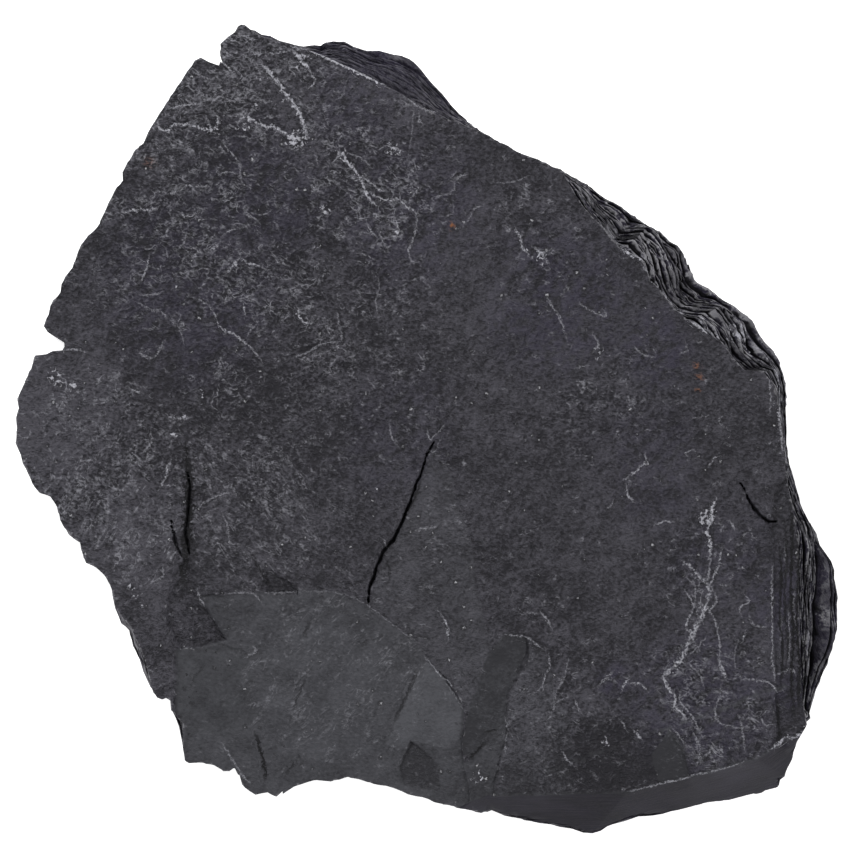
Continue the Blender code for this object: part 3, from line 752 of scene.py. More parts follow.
# ------------------------------------------------------------------ random fields

def field(x, y, cell, seed, wrap=0):
    """A smooth random field from -1 to 1.

    Random numbers sit at the corners of square cells, and each point blends its four
    corners with 3t^2 - 2t^3. With wrap, the pattern repeats after that many cells in x.
    """
    table = np.random.default_rng(seed).uniform(-1.0, 1.0, (256, 256))
    across, up = x / cell, y / cell
    left, below = np.floor(across).astype(int), np.floor(up).astype(int)
    tx, ty = across - left, up - below
    tx, ty = tx * tx * (3 - 2 * tx), ty * ty * (3 - 2 * ty)
    period = wrap or 256
    i0, i1 = left % period % 256, (left + 1) % period % 256
    j0, j1 = below % 256, (below + 1) % 256
    low = table[i0, j0] * (1 - tx) + table[i1, j0] * tx
    high = table[i0, j1] * (1 - tx) + table[i1, j1] * tx
    return low * (1 - ty) + high * ty


def layered_field(x, y, cell, seed, layers=3):
    """Smooth random fields added up, each half as wide and half as strong as the last."""
    total = np.zeros(np.shape(x))
    weight = 0.0
    for layer in range(layers):
        total += field(x, y, cell / 2 ** layer, seed + layer) / 2 ** layer
        weight += 1 / 2 ** layer
    return total / weight


def broken_line(turn, corners, seed):
    """A jagged number from 0 to 1 round the slab: random heights at random places, joined
    by straight lines."""
    generator = np.random.default_rng(seed)
    places = np.sort(generator.uniform(0.0, 1.0, corners))
    heights = generator.uniform(0.0, 1.0, corners)
    return np.interp(turn, places, heights, period=1.0)


# ------------------------------------------------------------------ the face and the back

def strayed(x, y):
    """Points moved a little by random fields, so that straight plan lines look broken."""
    wide, fine = 5.0 * MM, 1.3 * MM
    stray_x = 0.35 * MM * field(x, y, wide, 101) + 0.14 * MM * field(x, y, fine, 102)
    stray_y = 0.35 * MM * field(x, y, wide, 103) + 0.14 * MM * field(x, y, fine, 104)
    return x + stray_x, y + stray_y


def floor_marks(x, y):
    """How freshly the face is split at each point, from 0 on the old face to 1, and how
    much lighter the floor of its flake is."""
    fresh = np.zeros(np.shape(x))
    lighter = np.zeros(np.shape(x))
    u, v = strayed(x, y)
    for outline, _depth, _fall, _direction, newness, _width, shift in FLAKES.values():
        corners = place(outline)
        near = near_chain(u, v, corners, MM)
        inside = ease(signed_depth(u[near], v[near], corners), -0.1 * MM, 0.1 * MM)
        fresh[near] += (newness - fresh[near]) * inside
        lighter[near] += (shift - lighter[near]) * inside
    return fresh, lighter


def take_flakes(height, x, y, riser):
    """Lowers the face to the tilted floor of each flake, over a narrow step at its edge."""
    for outline, depth, fall, direction, _fresh, width, _shift in FLAKES.values():
        corners = place(outline)
        near = near_chain(x, y, corners, riser * width)
        px, py = x[near], y[near]
        pivot = corners.mean(axis=0)
        towards = (math.cos(math.radians(direction)), math.sin(math.radians(direction)))
        run = (px - pivot[0]) * towards[0] + (py - pivot[1]) * towards[1]
        floor = SLAB_THICKNESS - depth * MM - math.tan(math.radians(fall)) * run
        inside = ease(signed_depth(px, py, corners), -riser * width / 2, riser * width / 2)
        height[near] += (np.minimum(floor, height[near]) - height[near]) * inside


def open_cracks(height, x, y):
    """Cuts a groove with sloping sides along each crack, widest past its middle."""
    for line, gap, depth in CRACKS.values():
        chain = place(line)
        near = near_chain(x, y, chain, gap * UNIT)
        away, _side, share = chain_distance(x[near], y[near], chain)
        half = gap * UNIT / 2 * (0.3 + 0.7 * np.sin(math.pi * share ** 1.3))
        half *= 1.0 + 0.4 * field(x[near], y[near], 1.6 * MM, 111)
        half *= 1.0 + 0.35 * field(x[near], y[near], 0.5 * MM, 113)
        height[near] -= depth * MM * np.clip(1.6 * (1.0 - away / half), 0.0, 1.0)


def fracture_planes():
    """The clean fractures as planes: normal, offset, start, direction and length."""
    planes = []
    for corners in FRACTURES:
        start, end, foot = place(corners)
        first = np.array((*start, SLAB_THICKNESS))
        last = np.array((*end, SLAB_THICKNESS))
        low = np.array((*foot, FRACTURE_FOOT))
        along = (last - first) / np.linalg.norm(last - first)
        normal = np.cross(along, first - low)
        normal /= np.linalg.norm(normal) * np.sign(normal[2])
        planes.append((normal, normal @ first, first, along, np.linalg.norm(last - first)))
    return planes


def fracture_reach(bearings, level):
    """The furthest that a point at a level may lie from the heart, inside the fractures."""
    along_ray = np.stack((np.cos(bearings), np.sin(bearings)))
    furthest = np.full(np.broadcast(bearings, level).shape, 1.0)
    for normal, offset, first, along, length in fracture_planes():
        facing = normal[0] * along_ray[0] + normal[1] * along_ray[1]
        start = normal[0] * HEART_AT[0] + normal[1] * HEART_AT[1]
        reach = np.where(facing > 0.05, (offset - normal[2] * level - start)
                         / np.maximum(facing, 0.05), 1.0)
        x = HEART_AT[0] + along_ray[0] * reach - first[0]
        y = HEART_AT[1] + along_ray[1] * reach - first[1]
        run = x * along[0] + y * along[1]
        outside = np.maximum(-run, run - length)
        furthest = np.minimum(furthest, reach + ease(outside, 0.0, 2.0 * MM) * 0.05)
    return furthest


def old_face_ripples(x, y, relief):
    """The relief of the old split face: low swells, thin broken steps and small ripples.

    The steps are a slow random field cut into even levels, each joined by a short ramp.
    """
    swell = 0.30 * MM * (layered_field(x, y, 26.0 * MM, 11) - 0.6)
    slow = 5.0 * layered_field(0.8 * x + 0.5 * y, 1.5 * (y - 0.5 * x), 17.0 * MM, 21, 4)
    level = np.floor(slow)
    steps = 0.20 * MM * (level + ease(slow - level, 0.0, 0.12) - 5.0)
    ridged = 1.0 - np.abs(layered_field(x, y, 2.6 * MM, 31, 3)) * 2.0
    return swell + steps * 0.6 + relief * (ridged - 1.0)


def face_height(x, y, sizes, cracked=True):
    """Height of the face: the flat top, less ripples, flakes and, if asked, open cracks."""
    u, v = strayed(x, y)
    height = np.full(np.shape(x), SLAB_THICKNESS)
    take_flakes(height, u, v, sizes.riser)
    fresh, _lighter = floor_marks(x, y)
    height += old_face_ripples(x, y, sizes.relief) * (1.0 - 0.8 * fresh)
    height += fresh * 0.05 * MM * layered_field(x, y, 9.0 * MM, 51)
    if cracked:
        open_cracks(height, u, v)
    return height


def back_height(x, y):
    """Height of the back above the ground: flat, but for shallow flakes and thin steps."""
    u, v = strayed(x, y)
    height = np.zeros(np.shape(x))
    for outline, depth in BACK_FLAKES:
        inside = ease(signed_depth(u, v, place(outline)), -0.15 * MM, 0.15 * MM)
        height += (depth * MM - height) * inside
    slow = 3.0 * layered_field(x, 1.4 * y, 22.0 * MM, 61, 4)
    raised = ease(slow, 0.35, 0.42) * 0.12 * MM
    return height + raised + 0.05 * MM * (1.0 + layered_field(x, y, 2.4 * MM, 71)) * (slow > 0)


# ------------------------------------------------------------------ the layered edge

def sheet_levels():
    """Top of each cleavage sheet and the phases of its wandering edge, as in the solid."""
    generator = np.random.default_rng(SHEET_SEED)
    thickness = generator.uniform(0.7, 1.4, SHEET_COUNT)
    tops = np.cumsum(thickness) * SLAB_THICKNESS / thickness.sum()
    phases = [generator.uniform(0.0, math.tau, len(SHEET_WAVES)) for _sheet in tops]
    return tops, phases


def sheet_wave(bearings, phases):
    """The wandering of one sheet's edge, from 0 to 1: waves of several lengths added up."""
    total = sum(np.cos(count * bearings + phase) for count, phase in zip(SHEET_WAVES, phases))
    return 0.5 + 0.5 * total / len(SHEET_WAVES)


def crowding(bearings, column):
    """One column of the crowding table at each bearing, even between its rows."""
    table = np.array(CROWDING)
    return np.interp(np.degrees(bearings), table[:, 0], table[:, column])


def edge_reach(bearings, level, wave, widest, face):
    """Distance of the edge from the heart at a level: widest low down, drawn in above and
    below it, and broken back by the sheet's wave."""
    above = max(0.0, (level - WIDEST_LEVEL) / (SLAB_THICKNESS - WIDEST_LEVEL))
    below = max(0.0, 1.0 - level / WIDEST_LEVEL) * UNDERCUT
    away = np.remainder(bearings - SWELL_BEARING + math.pi, math.tau) - math.pi
    power = 1.0 + SWELL * np.maximum(0.0, 1.0 - (away / SWELL_SPREAD) ** 2)
    power *= 2.0 ** crowding(bearings, 1)
    start = widest
    if level > LEDGE_LEVEL:
        start = np.minimum(widest, stretch_reach(bearings, RIGHT_LEDGE, widest))
    rough = ease(abs(level - WIDEST_LEVEL), 0.3 * MM, 1.2 * MM)
    rough *= ease(SLAB_THICKNESS - level, 0.2 * MM, 1.5 * MM)
    uneven = rough * (RAGGED + FLANK_RAGGED * (start - face))
    return start + (face - start) * above ** power - below - uneven * wave


def lamina_edges(bearings, turn, sizes):
    """Reach and thickness of every thin layer along each bearing, from the face downwards.

    Each cleavage sheet is split into thin layers. A layer's reach is its sheet's reach,
    less a jagged chip, and its thickness swells and pinches round the slab.
    """
    tops, phases = sheet_levels()
    bottoms = np.concatenate(([0.0], tops[:-1]))
    widest = outline_reach(bearings, OUTLINE)
    face = stretch_reach(bearings, UPPER_RIM, widest)
    face = np.minimum(stretch_reach(bearings, LOWER_LEFT_RIM, face), widest - EDGE_INSET)
    reaches, thicknesses = [], []
    for sheet in range(SHEET_COUNT - 1, -1, -1):
        wave = sheet_wave(bearings, phases[sheet])
        for part in range(sizes.laminae):
            seed = 1000 + 10 * sheet + part
            middle = (SLAB_THICKNESS if sheet == SHEET_COUNT - 1
                      else (tops[sheet] + bottoms[sheet]) / 2)
            own = tops[sheet] + (bottoms[sheet] - tops[sheet]) * part / sizes.laminae
            level = own + (middle - own) * LAMINA_FLUSH
            reach = edge_reach(bearings, level, wave, widest, face)
            flank = np.maximum(widest - face, 0.0)
            chip = sizes.chip * (broken_line(turn, 110, seed) ** 2
                                 + 0.35 * broken_line(turn, 420, seed + 500))
            chip += 0.15 * flank * broken_line(turn, 60, seed + 900) ** 2
            chip += 0.03 * flank * broken_line(turn, 380, seed + 1100) ** 2
            if sheet == SHEET_COUNT - 1 and part == 0:
                chip *= 0.35
            swell = 1.0 + 0.6 * (broken_line(turn, 40, seed + 1300) - 0.5)
            reaches.append(reach - chip)
            thicknesses.append(swell * (tops[sheet] - bottoms[sheet]) / sizes.laminae)
    return np.array(reaches), np.array(thicknesses)


def edge_rows(turn, reaches, thicknesses, rim_level, base_level, laminae, layered):
    """The edge as rows of points from the rim down: for each thin layer its broken end,
    then the ledge out to the next layer, which dips where it meets the end above it and
    deepest between two sheets. Where the edge is a clean fracture, layered is 0 and
    nothing dips."""
    cut = np.cumsum(thicknesses, axis=0) / thicknesses.sum(axis=0)
    drop = rim_level - base_level
    rows_reach, rows_level = [], []
    top = rim_level
    count = len(reaches)
    for layer in range(count):
        bottom = rim_level - cut[layer] * drop
        for share in END_ROWS[layer == 0:]:
            rough = END_ROUGHNESS * field(
                turn * 900, np.full_like(turn, layer + share), 1.0, 81, 900)
            bulge = END_BULGE * math.sin(math.pi * share)
            rows_reach.append(reaches[layer] + bulge + rough * math.sin(math.pi * share))
            rows_level.append(top + (bottom - top) * share)
        if layer + 1 < count:
            width = reaches[layer + 1] - reaches[layer]
            steep = CLEFT_IN_SHEET if (layer + 1) % laminae else CLEFT_BETWEEN_SHEETS
            open_here = 0.2 + 0.8 * broken_line(turn, 60, 2000 + layer)
            dip = np.clip(steep * width, 0.0, DEEPEST_CLEFT) * open_here * layered
            for share in LEDGE_ROWS:
                rough = LEDGE_ROUGHNESS * layered * field(
                    turn * 700, np.full_like(turn, layer + share), 0.5, 91, 1400)
                rows_reach.append(reaches[layer] + width * share)
                rows_level.append(bottom - dip * (1.0 - share) ** 2 + rough)
        top = bottom
    return np.array(rows_reach), np.array(rows_level)


def crumple(x, y, level):
    """Small ridges that cross the broken layers slantwise: a field of cloudy noise drawn out
    along one line, fading towards the back."""
    along = 0.45 * (0.5 * x - 0.87 * y)
    across = 0.87 * x + 0.5 * y
    ridges = layered_field(along, across, 1.1 * MM, 301, 3)
    return CRUMPLE * ridges * ease(level, 0.8 * MM, 2.5 * MM)


# ------------------------------------------------------------------ the stone's mesh

def turns(bearings):
    """Bearings as shares of a full turn, from 0 to 1."""
    return (bearings / math.tau) % 1.0


def disc_grid(cells):
    """A square grid pulled round into a disc: share of the reach and bearing of each point.

    Rings of the square become circles, so the cells stay nearly even all over.
    """
    a, b = np.meshgrid(np.linspace(-1, 1, cells + 1), np.linspace(-1, 1, cells + 1))
    wide = np.abs(a) >= np.abs(b)
    safe_a = np.where(a == 0, 1.0, a)
    safe_b = np.where(b == 0, 1.0, b)
    radius = np.where(wide, a, b)
    angle = np.where(wide, math.pi / 4 * b / safe_a, math.pi / 2 - math.pi / 4 * a / safe_b)
    x, y = radius * np.cos(angle), radius * np.sin(angle)
    return np.hypot(x, y), np.arctan2(y, x)


def rim_loop(cells):
    """Grid numbers of the border points, anticlockwise from one corner."""
    side = cells + 1
    grid = np.arange(side * side).reshape(side, side)
    return np.concatenate((grid[0, :-1], grid[:-1, -1], grid[-1, :0:-1], grid[:0:-1, 0]))


def grid_faces(cells, first):
    """Four-cornered faces of a square grid whose points are numbered from first."""
    side = cells + 1
    grid = np.arange(side * side).reshape(side, side) + first
    return np.stack((grid[:-1, :-1], grid[:-1, 1:], grid[1:, 1:], grid[1:, :-1]),
                    axis=-1).reshape(-1, 4)


def wall_faces(loops):
    """Four-cornered faces between loops of points, each loop below the one before."""
    upper, lower = loops[:-1], loops[1:]
    return np.stack((upper, lower, np.roll(lower, -1, axis=1), np.roll(upper, -1, axis=1)),
                    axis=-1).reshape(-1, 4)


def face_border(around, top_reach, sizes):
    """Reach and level of the face's border: the reach of the top layer, cut off at the
    fractures, and the height of the face there. Three passes fit the two to each other."""
    level = np.full(around.shape, SLAB_THICKNESS)
    for _pass in range(3):
        reach = np.minimum(top_reach, fracture_reach(around, level))
        level = face_height(*at_reach(reach, around), sizes, cracked=False)
    return reach, level


def edge_wall(around, layers, border_level, face_level, back_level, laminae):
    """The points between the borders of the face and the back, as rows from the top down:
    held inside the fractures, crumpled where the layers are, and never above the face."""
    reaches, thicknesses = layers
    inside = fracture_reach(around, SLAB_THICKNESS / 2) - reaches[len(reaches) // 2]
    layered = ease(inside, -0.3 * MM, 0.3 * MM)
    reach, level = edge_rows(turns(around), reaches, thicknesses, border_level, back_level,
                             laminae, layered * crowding(around, 2))
    reach, level = reach[:-1], np.minimum(level[:-1], face_level)
    reach = np.minimum(reach, fracture_reach(around, level))
    x, y = at_reach(reach, around)
    crumpled = layered * crowding(around, 3) * crumple(x, y, level)
    return x, y, np.minimum(level + crumpled, face_level)


def stone_surface(sizes):
    """The whole closed surface: points, faces that look outwards, and which are the edge's.

    The face and the back are discs whose radius at each bearing is the reach of the top
    or the bottom layer, and the edge is a wall of rows between their borders.
    """
    share, bearings = (numbers.ravel() for numbers in disc_grid(sizes.cells))
    loop = rim_loop(sizes.cells)
    around = bearings[loop]
    turn = turns(around)
    order = np.argsort(turn)

    def disc(edge):
        reach = share * np.interp(turns(bearings), turn[order], edge[order], period=1.0)
        return at_reach(reach, bearings)

    layers = lamina_edges(around, turn, sizes)
    border_reach, border_level = face_border(around, layers[0][0], sizes)
    face_x, face_y = disc(border_reach)
    face_z = face_height(face_x, face_y, sizes)
    back_x, back_y = disc(layers[0][-1])
    back_z = back_height(back_x, back_y)
    wall_x, wall_y, wall_z = edge_wall(around, layers, border_level, face_z[loop],
                                       back_z[loop], sizes.laminae)
    points = np.concatenate((
        np.stack((face_x, face_y, face_z), axis=1),
        np.stack((back_x, back_y, back_z), axis=1),
        np.stack((wall_x.ravel(), wall_y.ravel(), wall_z.ravel()), axis=1)))
    count = len(face_x)
    wall = 2 * count + np.arange(wall_z.size).reshape(wall_z.shape)
    discs = np.concatenate((grid_faces(sizes.cells, 0), grid_faces(sizes.cells, count)[:, ::-1]))
    edge = wall_faces(np.concatenate((loop[None], wall, loop[None] + count)))
    on_edge = np.concatenate((np.zeros(len(discs)), np.ones(len(edge))))
    return points, np.concatenate((discs, edge)), on_edge


def mesh_from_arrays(name, points, faces, finish):
    """A mesh filled straight from arrays of points, four-cornered faces and their finish."""
    mesh = bpy.data.meshes.new(name)
    mesh.vertices.add(len(points))
    mesh.vertices.foreach_set("co", points.astype(np.float32).ravel())
    mesh.loops.add(faces.size)
    mesh.loops.foreach_set("vertex_index", faces.astype(np.int32).ravel())
    mesh.polygons.add(len(faces))
    mesh.polygons.foreach_set("loop_start", np.arange(0, faces.size, 4, dtype=np.int32))
    mesh.polygons.foreach_set("material_index", finish.astype(np.int32))
    mesh.update(calc_edges=True)
    return mesh


def thinned(mesh, triangles, face_points, evenness):
    """The mesh with its flat places made coarser, down to a number of triangles. The face,
    which is its first points, is held back from long edges so that its marks stay sharp."""
    rough = bpy.data.objects.new("dense_stone", mesh)
    bpy.context.scene.collection.objects.link(rough)
    freedom = rough.vertex_groups.new(name="freedom_to_thin")
    freedom.add(list(range(face_points)), 0.5, "REPLACE")
    freedom.add(list(range(face_points, len(mesh.vertices))), 1.0, "REPLACE")
    thin = rough.modifiers.new("thin", "DECIMATE")
    thin.vertex_group = freedom.name
    thin.vertex_group_factor = evenness
    thin.ratio = triangles / (2 * len(mesh.polygons))
    thin.use_collapse_triangulate = True
    done = bpy.data.meshes.new_from_object(
        rough.evaluated_get(bpy.context.evaluated_depsgraph_get()))
    bpy.data.objects.remove(rough)
    bpy.data.meshes.remove(mesh)
    return done


# ------------------------------------------------------------------ marks on the surface

def smooth_line(points, steps=8):
    """A smooth line through points: between each two, a cubic that leaves each point in the
    direction of its neighbours."""
    known = place(points)
    ends = np.concatenate((2 * known[:1] - known[1:2], known, 2 * known[-1:] - known[-2:-1]))
    t = np.linspace(0.0, 1.0, steps, endpoint=False)[None, :, None]
    p0, p1, p2, p3 = (ends[shift:len(ends) - 3 + shift, None] for shift in range(4))
    curve = 0.5 * (2 * p1 + (p2 - p0) * t + (2 * p0 - 5 * p1 + 4 * p2 - p3) * t ** 2
                   + (3 * p1 - p0 - 3 * p2 + p3) * t ** 3)
    return np.concatenate((curve.reshape(-1, 2), known[-1:]))


def sorted_lines():
    """The drawn lines shared out over a few sets, so that no two in a set come close."""
    sets = [[] for _number in range(LINE_SETS)]
    for points, half_width, strength in LINES:
        chain = smooth_line(points)
        spaces = [min((np.hypot(*(chain[:, None] - other[None]).T).min()
                       for other, *_rest in kept), default=1.0) for kept in sets]
        wide = [number for number, space in enumerate(spaces) if space > LINE_SPACE * UNIT]
        chosen = wide[0] if wide else int(np.argmax(spaces))
        sets[chosen].append((chain, half_width * UNIT, strength))
    return sets


def line_marks(x, y, lines):
    """Two numbers a point for one set of lines: the signed distance to the strongest line
    there over its half width, and a strength that fades away from it and towards its ends."""
    side_of = np.full(x.shape, 50.0)
    strength = np.zeros(x.shape)
    for chain, half_width, most in lines:
        reach = max(LINE_REACH, 3.0 * half_width)
        near = np.flatnonzero(near_chain(x, y, chain, reach + 0.6 * MM))
        away, side, share = chain_distance(x[near], y[near], chain)
        glow = most * abs(most) ** FAINTNESS * (1.0 - ease(away, reach, reach + LINE_FADE))
        off_tip = np.sqrt(np.clip(6.0 * np.minimum(share, 1.0 - share), 0.0, 1.0))
        glow *= LINE_TIP + (1.0 - LINE_TIP) * off_tip
        stronger = np.abs(glow) > np.abs(strength[near])
        side_of[near[stronger]] = (side * away / half_width)[stronger]
        strength[near[stronger]] = glow[stronger]
    return side_of, strength


def zone_marks(x, y, patches):
    """How strongly each point lies in round patches, whose borders fade and wander."""
    wide = 9.0 * MM
    stray_x, stray_y = layered_field(x, y, wide, 201, 4), layered_field(x, y, wide, 211, 4)
    most = np.zeros(x.shape)
    for middle, radius, strength in patches:
        centre = place(middle)[0]
        stray = min(4.5 * MM, 0.4 * radius * UNIT)
        away = np.hypot(x + stray * stray_x - centre[0], y + stray * stray_y - centre[1])
        share = strength * (1.0 - ease(away / (radius * UNIT), 0.35, 1.15))
        most = np.where(np.abs(share) > np.abs(most), share, most)
    return most


def tone_marks(x, y):
    """How light each point is: the named light and dark zones, and clouds of three sizes."""
    clouds = 0.16 * layered_field(x, y, 13.0 * MM, 221) + 0.30 * layered_field(x, y, 4.5 * MM, 231)
    return zone_marks(x, y, TONES) + clouds


def bend_marks(mesh, points):
    """How each point stands above its neighbours, along its normal: about 1 on a sharp
    edge that stands out, 0 on a flat, and -1 in a sharp hollow."""
    count = len(points)
    normals = np.empty(count * 3, np.float32)
    mesh.vertex_normals.foreach_get("vector", normals)
    normals = normals.reshape(-1, 3)
    edges = np.empty(len(mesh.edges) * 2, np.int32)
    mesh.edges.foreach_get("vertices", edges)
    first, second = edges.reshape(-1, 2).T
    along = points[second] - points[first]
    along /= np.maximum(np.linalg.norm(along, axis=1), 1e-9)[:, None]
    total = np.bincount(first, -(along * normals[first]).sum(axis=1), count)
    total += np.bincount(second, (along * normals[second]).sum(axis=1), count)
    met = np.bincount(first, minlength=count) + np.bincount(second, minlength=count)
    return total / np.maximum(met, 1) * 2.2


def away_from_cracks(x, y):
    """0 beside an open crack, whose lips get neither pale powder nor a painted edge highlight, and
    1 elsewhere.
    """
    away = np.full(x.shape, 1.0)
    for line, _gap, _depth in CRACKS.values():
        chain = place(line)
        near = np.flatnonzero(near_chain(x, y, chain, 3.0 * MM))
        away[near] = np.minimum(away[near], chain_distance(x[near], y[near], chain)[0])
    return ease(away, 1.2 * MM, 2.6 * MM)


def fracture_marks(points):
    """1 where a point lies on one of the clean fractures, 0 elsewhere."""
    on_plane = np.zeros(len(points))
    for normal, offset, _first, _along, _length in fracture_planes():
        away = np.abs(points @ normal - offset)
        on_plane = np.maximum(on_plane, 1.0 - ease(away, 0.08 * MM, 0.25 * MM))
    return on_plane * (points[:, 2] < SLAB_THICKNESS - 0.3 * MM)


def height_fade(points, shares):
    """0 below the first share of the slab's thickness and 1 above the second."""
    low, high = shares
    return ease(points[:, 2], low * SLAB_THICKNESS, high * SLAB_THICKNESS)


def mark_stone(mesh):
    """Writes the marks that the finishes read as attributes of the mesh's points."""
    points = np.empty(len(mesh.vertices) * 3, np.float32)
    mesh.vertices.foreach_get("co", points)
    points = points.reshape(-1, 3).astype(float)
    x, y = points[:, 0], points[:, 1]
    upper, off_back = height_fade(points, FACE_FADE), height_fade(points, NEAR_BACK_FADE)
    levels = dict.fromkeys(NEAR_BACK_ZONES, off_back) | dict.fromkeys(ALL_ROUND_ZONES, 1.0)
    values = {zone: zone_marks(x, y, patches) * levels.get(zone, upper)
              for zone, patches in ZONES.items()}
    clusters = ease(layered_field(x, y, 6.5 * MM, 241), -0.25, 0.35)
    values["veined"] = (0.10 + values["veined"]) * (0.40 + 0.50 * clusters)
    fresh, lighter = floor_marks(x, y)
    values["tone"] = tone_marks(x, y) + lighter * upper
    smooth_cut = fracture_marks(points)
    values["fresh"] = np.maximum(fresh * upper, smooth_cut)
    bend = bend_marks(mesh, points)
    # Edges that stand out get pale powder and a painted highlight, and hollows get dirt and
    # painted shade.
    values["powder_and_edge_light"] = np.clip(bend, 0.0, 1.0) * away_from_cracks(x, y) * (1.0 - 0.8 * smooth_cut)
    values["hollow"] = np.clip(-bend, 0.0, 1.0) * (1.0 - smooth_cut)
    for number, lines in enumerate(sorted_lines()):
        side_of, strength = line_marks(x, y, lines)
        values[f"line_side_{number}"] = side_of
        values[f"line_strength_{number}"] = strength * off_back
    for name, numbers in values.items():
        mesh.attributes.new(name, "FLOAT", "POINT").data.foreach_set(
            "value", numbers.astype(np.float32))


# ------------------------------------------------------------------ node groups

BUMP_HEIGHT = 0.3 * MM


class Bench:
    """Lays nodes in a tree one after another and wires them."""

    def __init__(self, tree):
        self.tree = tree

    def put(self, kind, ports=None, **settings):
        """A node with its settings; each port takes a number, a colour or another output."""
        node = self.tree.nodes.new(kind)
        node.location.x = 180 * len(self.tree.nodes)
        for name, value in settings.items():
            setattr(node, name, value)
        for name, value in (ports or {}).items():
            self.wire(value, node.inputs[name])
        return node

    def wire(self, value, socket):
        """Links an output to a socket, or sets the socket to a plain value."""
        if isinstance(value, bpy.types.NodeSocket):
            self.tree.links.new(value, socket)
        else:
            socket.default_value = value

    def sum(self, operation, first, second=0.0, third=0.0):
        """The result of one piece of arithmetic."""
        return self.put("ShaderNodeMath", {0: first, 1: second, 2: third},
                        operation=operation).outputs[0]

    def times(self, first, second):
        """The product of two numbers."""
        return self.sum("MULTIPLY", first, second)

    def scaled(self, value, factor, offset):
        """A number times a factor, and an offset added."""
        return self.sum("MULTIPLY_ADD", value, factor, offset)

    def plus(self, first, second):
        """Two numbers added up."""
        return self.sum("ADD", first, second)

    def minus(self, first, second):
        """The first number less the second."""
        return self.sum("SUBTRACT", first, second)

    def most(self, first, second):
        """The larger of two numbers."""
        return self.sum("MAXIMUM", first, second)

    def one_over(self, value):
        """1 divided by a number."""
        return self.sum("DIVIDE", 1.0, value)

    def size_of(self, value):
        """A number without its sign."""
        return self.sum("ABSOLUTE", value)

    def shift(self, operation, first, second):
        """The result of one piece of arithmetic on vectors."""
        port = "Scale" if operation == "SCALE" else 1
        return self.put("ShaderNodeVectorMath", {0: first, port: second},
                        operation=operation).outputs[0]

    def band(self, value, low, high, from_low=0.0, to_high=1.0):
        """A smooth rise from one number to another as a value goes from low to high."""
        return self.put("ShaderNodeMapRange", {
            "Value": value, "From Min": low, "From Max": high, "To Min": from_low,
            "To Max": to_high}, interpolation_type="SMOOTHSTEP").outputs[0]

    def blend(self, share, first, second, mode="MIX"):
        """Two colours mixed by a share."""
        return self.put("ShaderNodeMix", {0: share, 6: first, 7: second}, data_type="RGBA",
                        blend_type=mode).outputs[2]

    def noise(self, vector, scale, detail=2.0, roughness=0.5, distortion=0.0, out=0):
        """A cloudy pattern: its strength, or its colour with out=1."""
        return self.put("ShaderNodeTexNoise", {
            "Vector": vector, "Scale": scale, "Detail": detail, "Roughness": roughness,
            "Distortion": distortion}).outputs[out]

    def mark(self, name):
        """The strength of one of the marks on the mesh."""
        return self.put("ShaderNodeAttribute", attribute_name=name).outputs["Fac"]

    def millimetres(self):
        """Where each point lies on the object, in millimetres."""
        where = self.put("ShaderNodeTexCoord").outputs["Object"]
        return self.shift("SCALE", where, 1.0 / MM)

    def bump(self, height, strength, shader):
        """Bends the shader's normal by a height, where 1 stands for BUMP_HEIGHT."""
        bump = self.put("ShaderNodeBump", {"Strength": strength, "Distance": BUMP_HEIGHT,
                                           "Height": height})
        self.wire(bump.outputs[0], shader.inputs["Normal"])

    def group(self, name, **ports):
        """One of the shared effects, with this finish's own values."""
        node = self.put("ShaderNodeGroup", node_tree=bpy.data.node_groups[name])
        for label, value in ports.items():
            self.wire(value, node.inputs[label])
        return node.outputs


def new_effect(name, outputs, **inputs):
    """An empty node group with a Vector input, more inputs by name, and its outputs."""
    tree = bpy.data.node_groups.new(name, "ShaderNodeTree")
    tree.interface.new_socket("Vector", in_out="INPUT", socket_type="NodeSocketVector")
    for label, value in inputs.items():
        socket = tree.interface.new_socket(label, in_out="INPUT", socket_type="NodeSocketFloat")
        socket.default_value = value
    for label in outputs:
        tree.interface.new_socket(label, in_out="OUTPUT", socket_type="NodeSocketFloat")
    entry = tree.nodes.new("NodeGroupInput").outputs
    leave = tree.nodes.new("NodeGroupOutput").inputs
    return Bench(tree), entry, leave


def stone_grain_effect():
    """The fine grain of the stone, from -0.5 to 0.5, drawn out a little along one line."""
    bench, entry, leave = new_effect("stone_grain", ("Grain",), Size=0.8, Turn=0.0, Stretch=1.5)
    drawn = drawn_out(bench, entry)
    cloud = bench.noise(drawn, bench.one_over(entry["Size"]), 2.0, 0.75)
    bench.wire(bench.minus(cloud, 0.5), leave["Grain"])


def drawn_out(bench, entry):
    """The vector turned about Z and pulled out along its new X."""
    ports = {"Vector": entry["Vector"], "Angle": entry["Turn"]}
    turned = bench.put("ShaderNodeVectorRotate", ports, rotation_type="Z_AXIS").outputs[0]
    ports = {0: bench.one_over(entry["Stretch"]), 1: 1.0, 2: 1.0}
    pull = bench.put("ShaderNodeCombineXYZ", ports).outputs[0]
    return bench.shift("MULTIPLY", turned, pull)


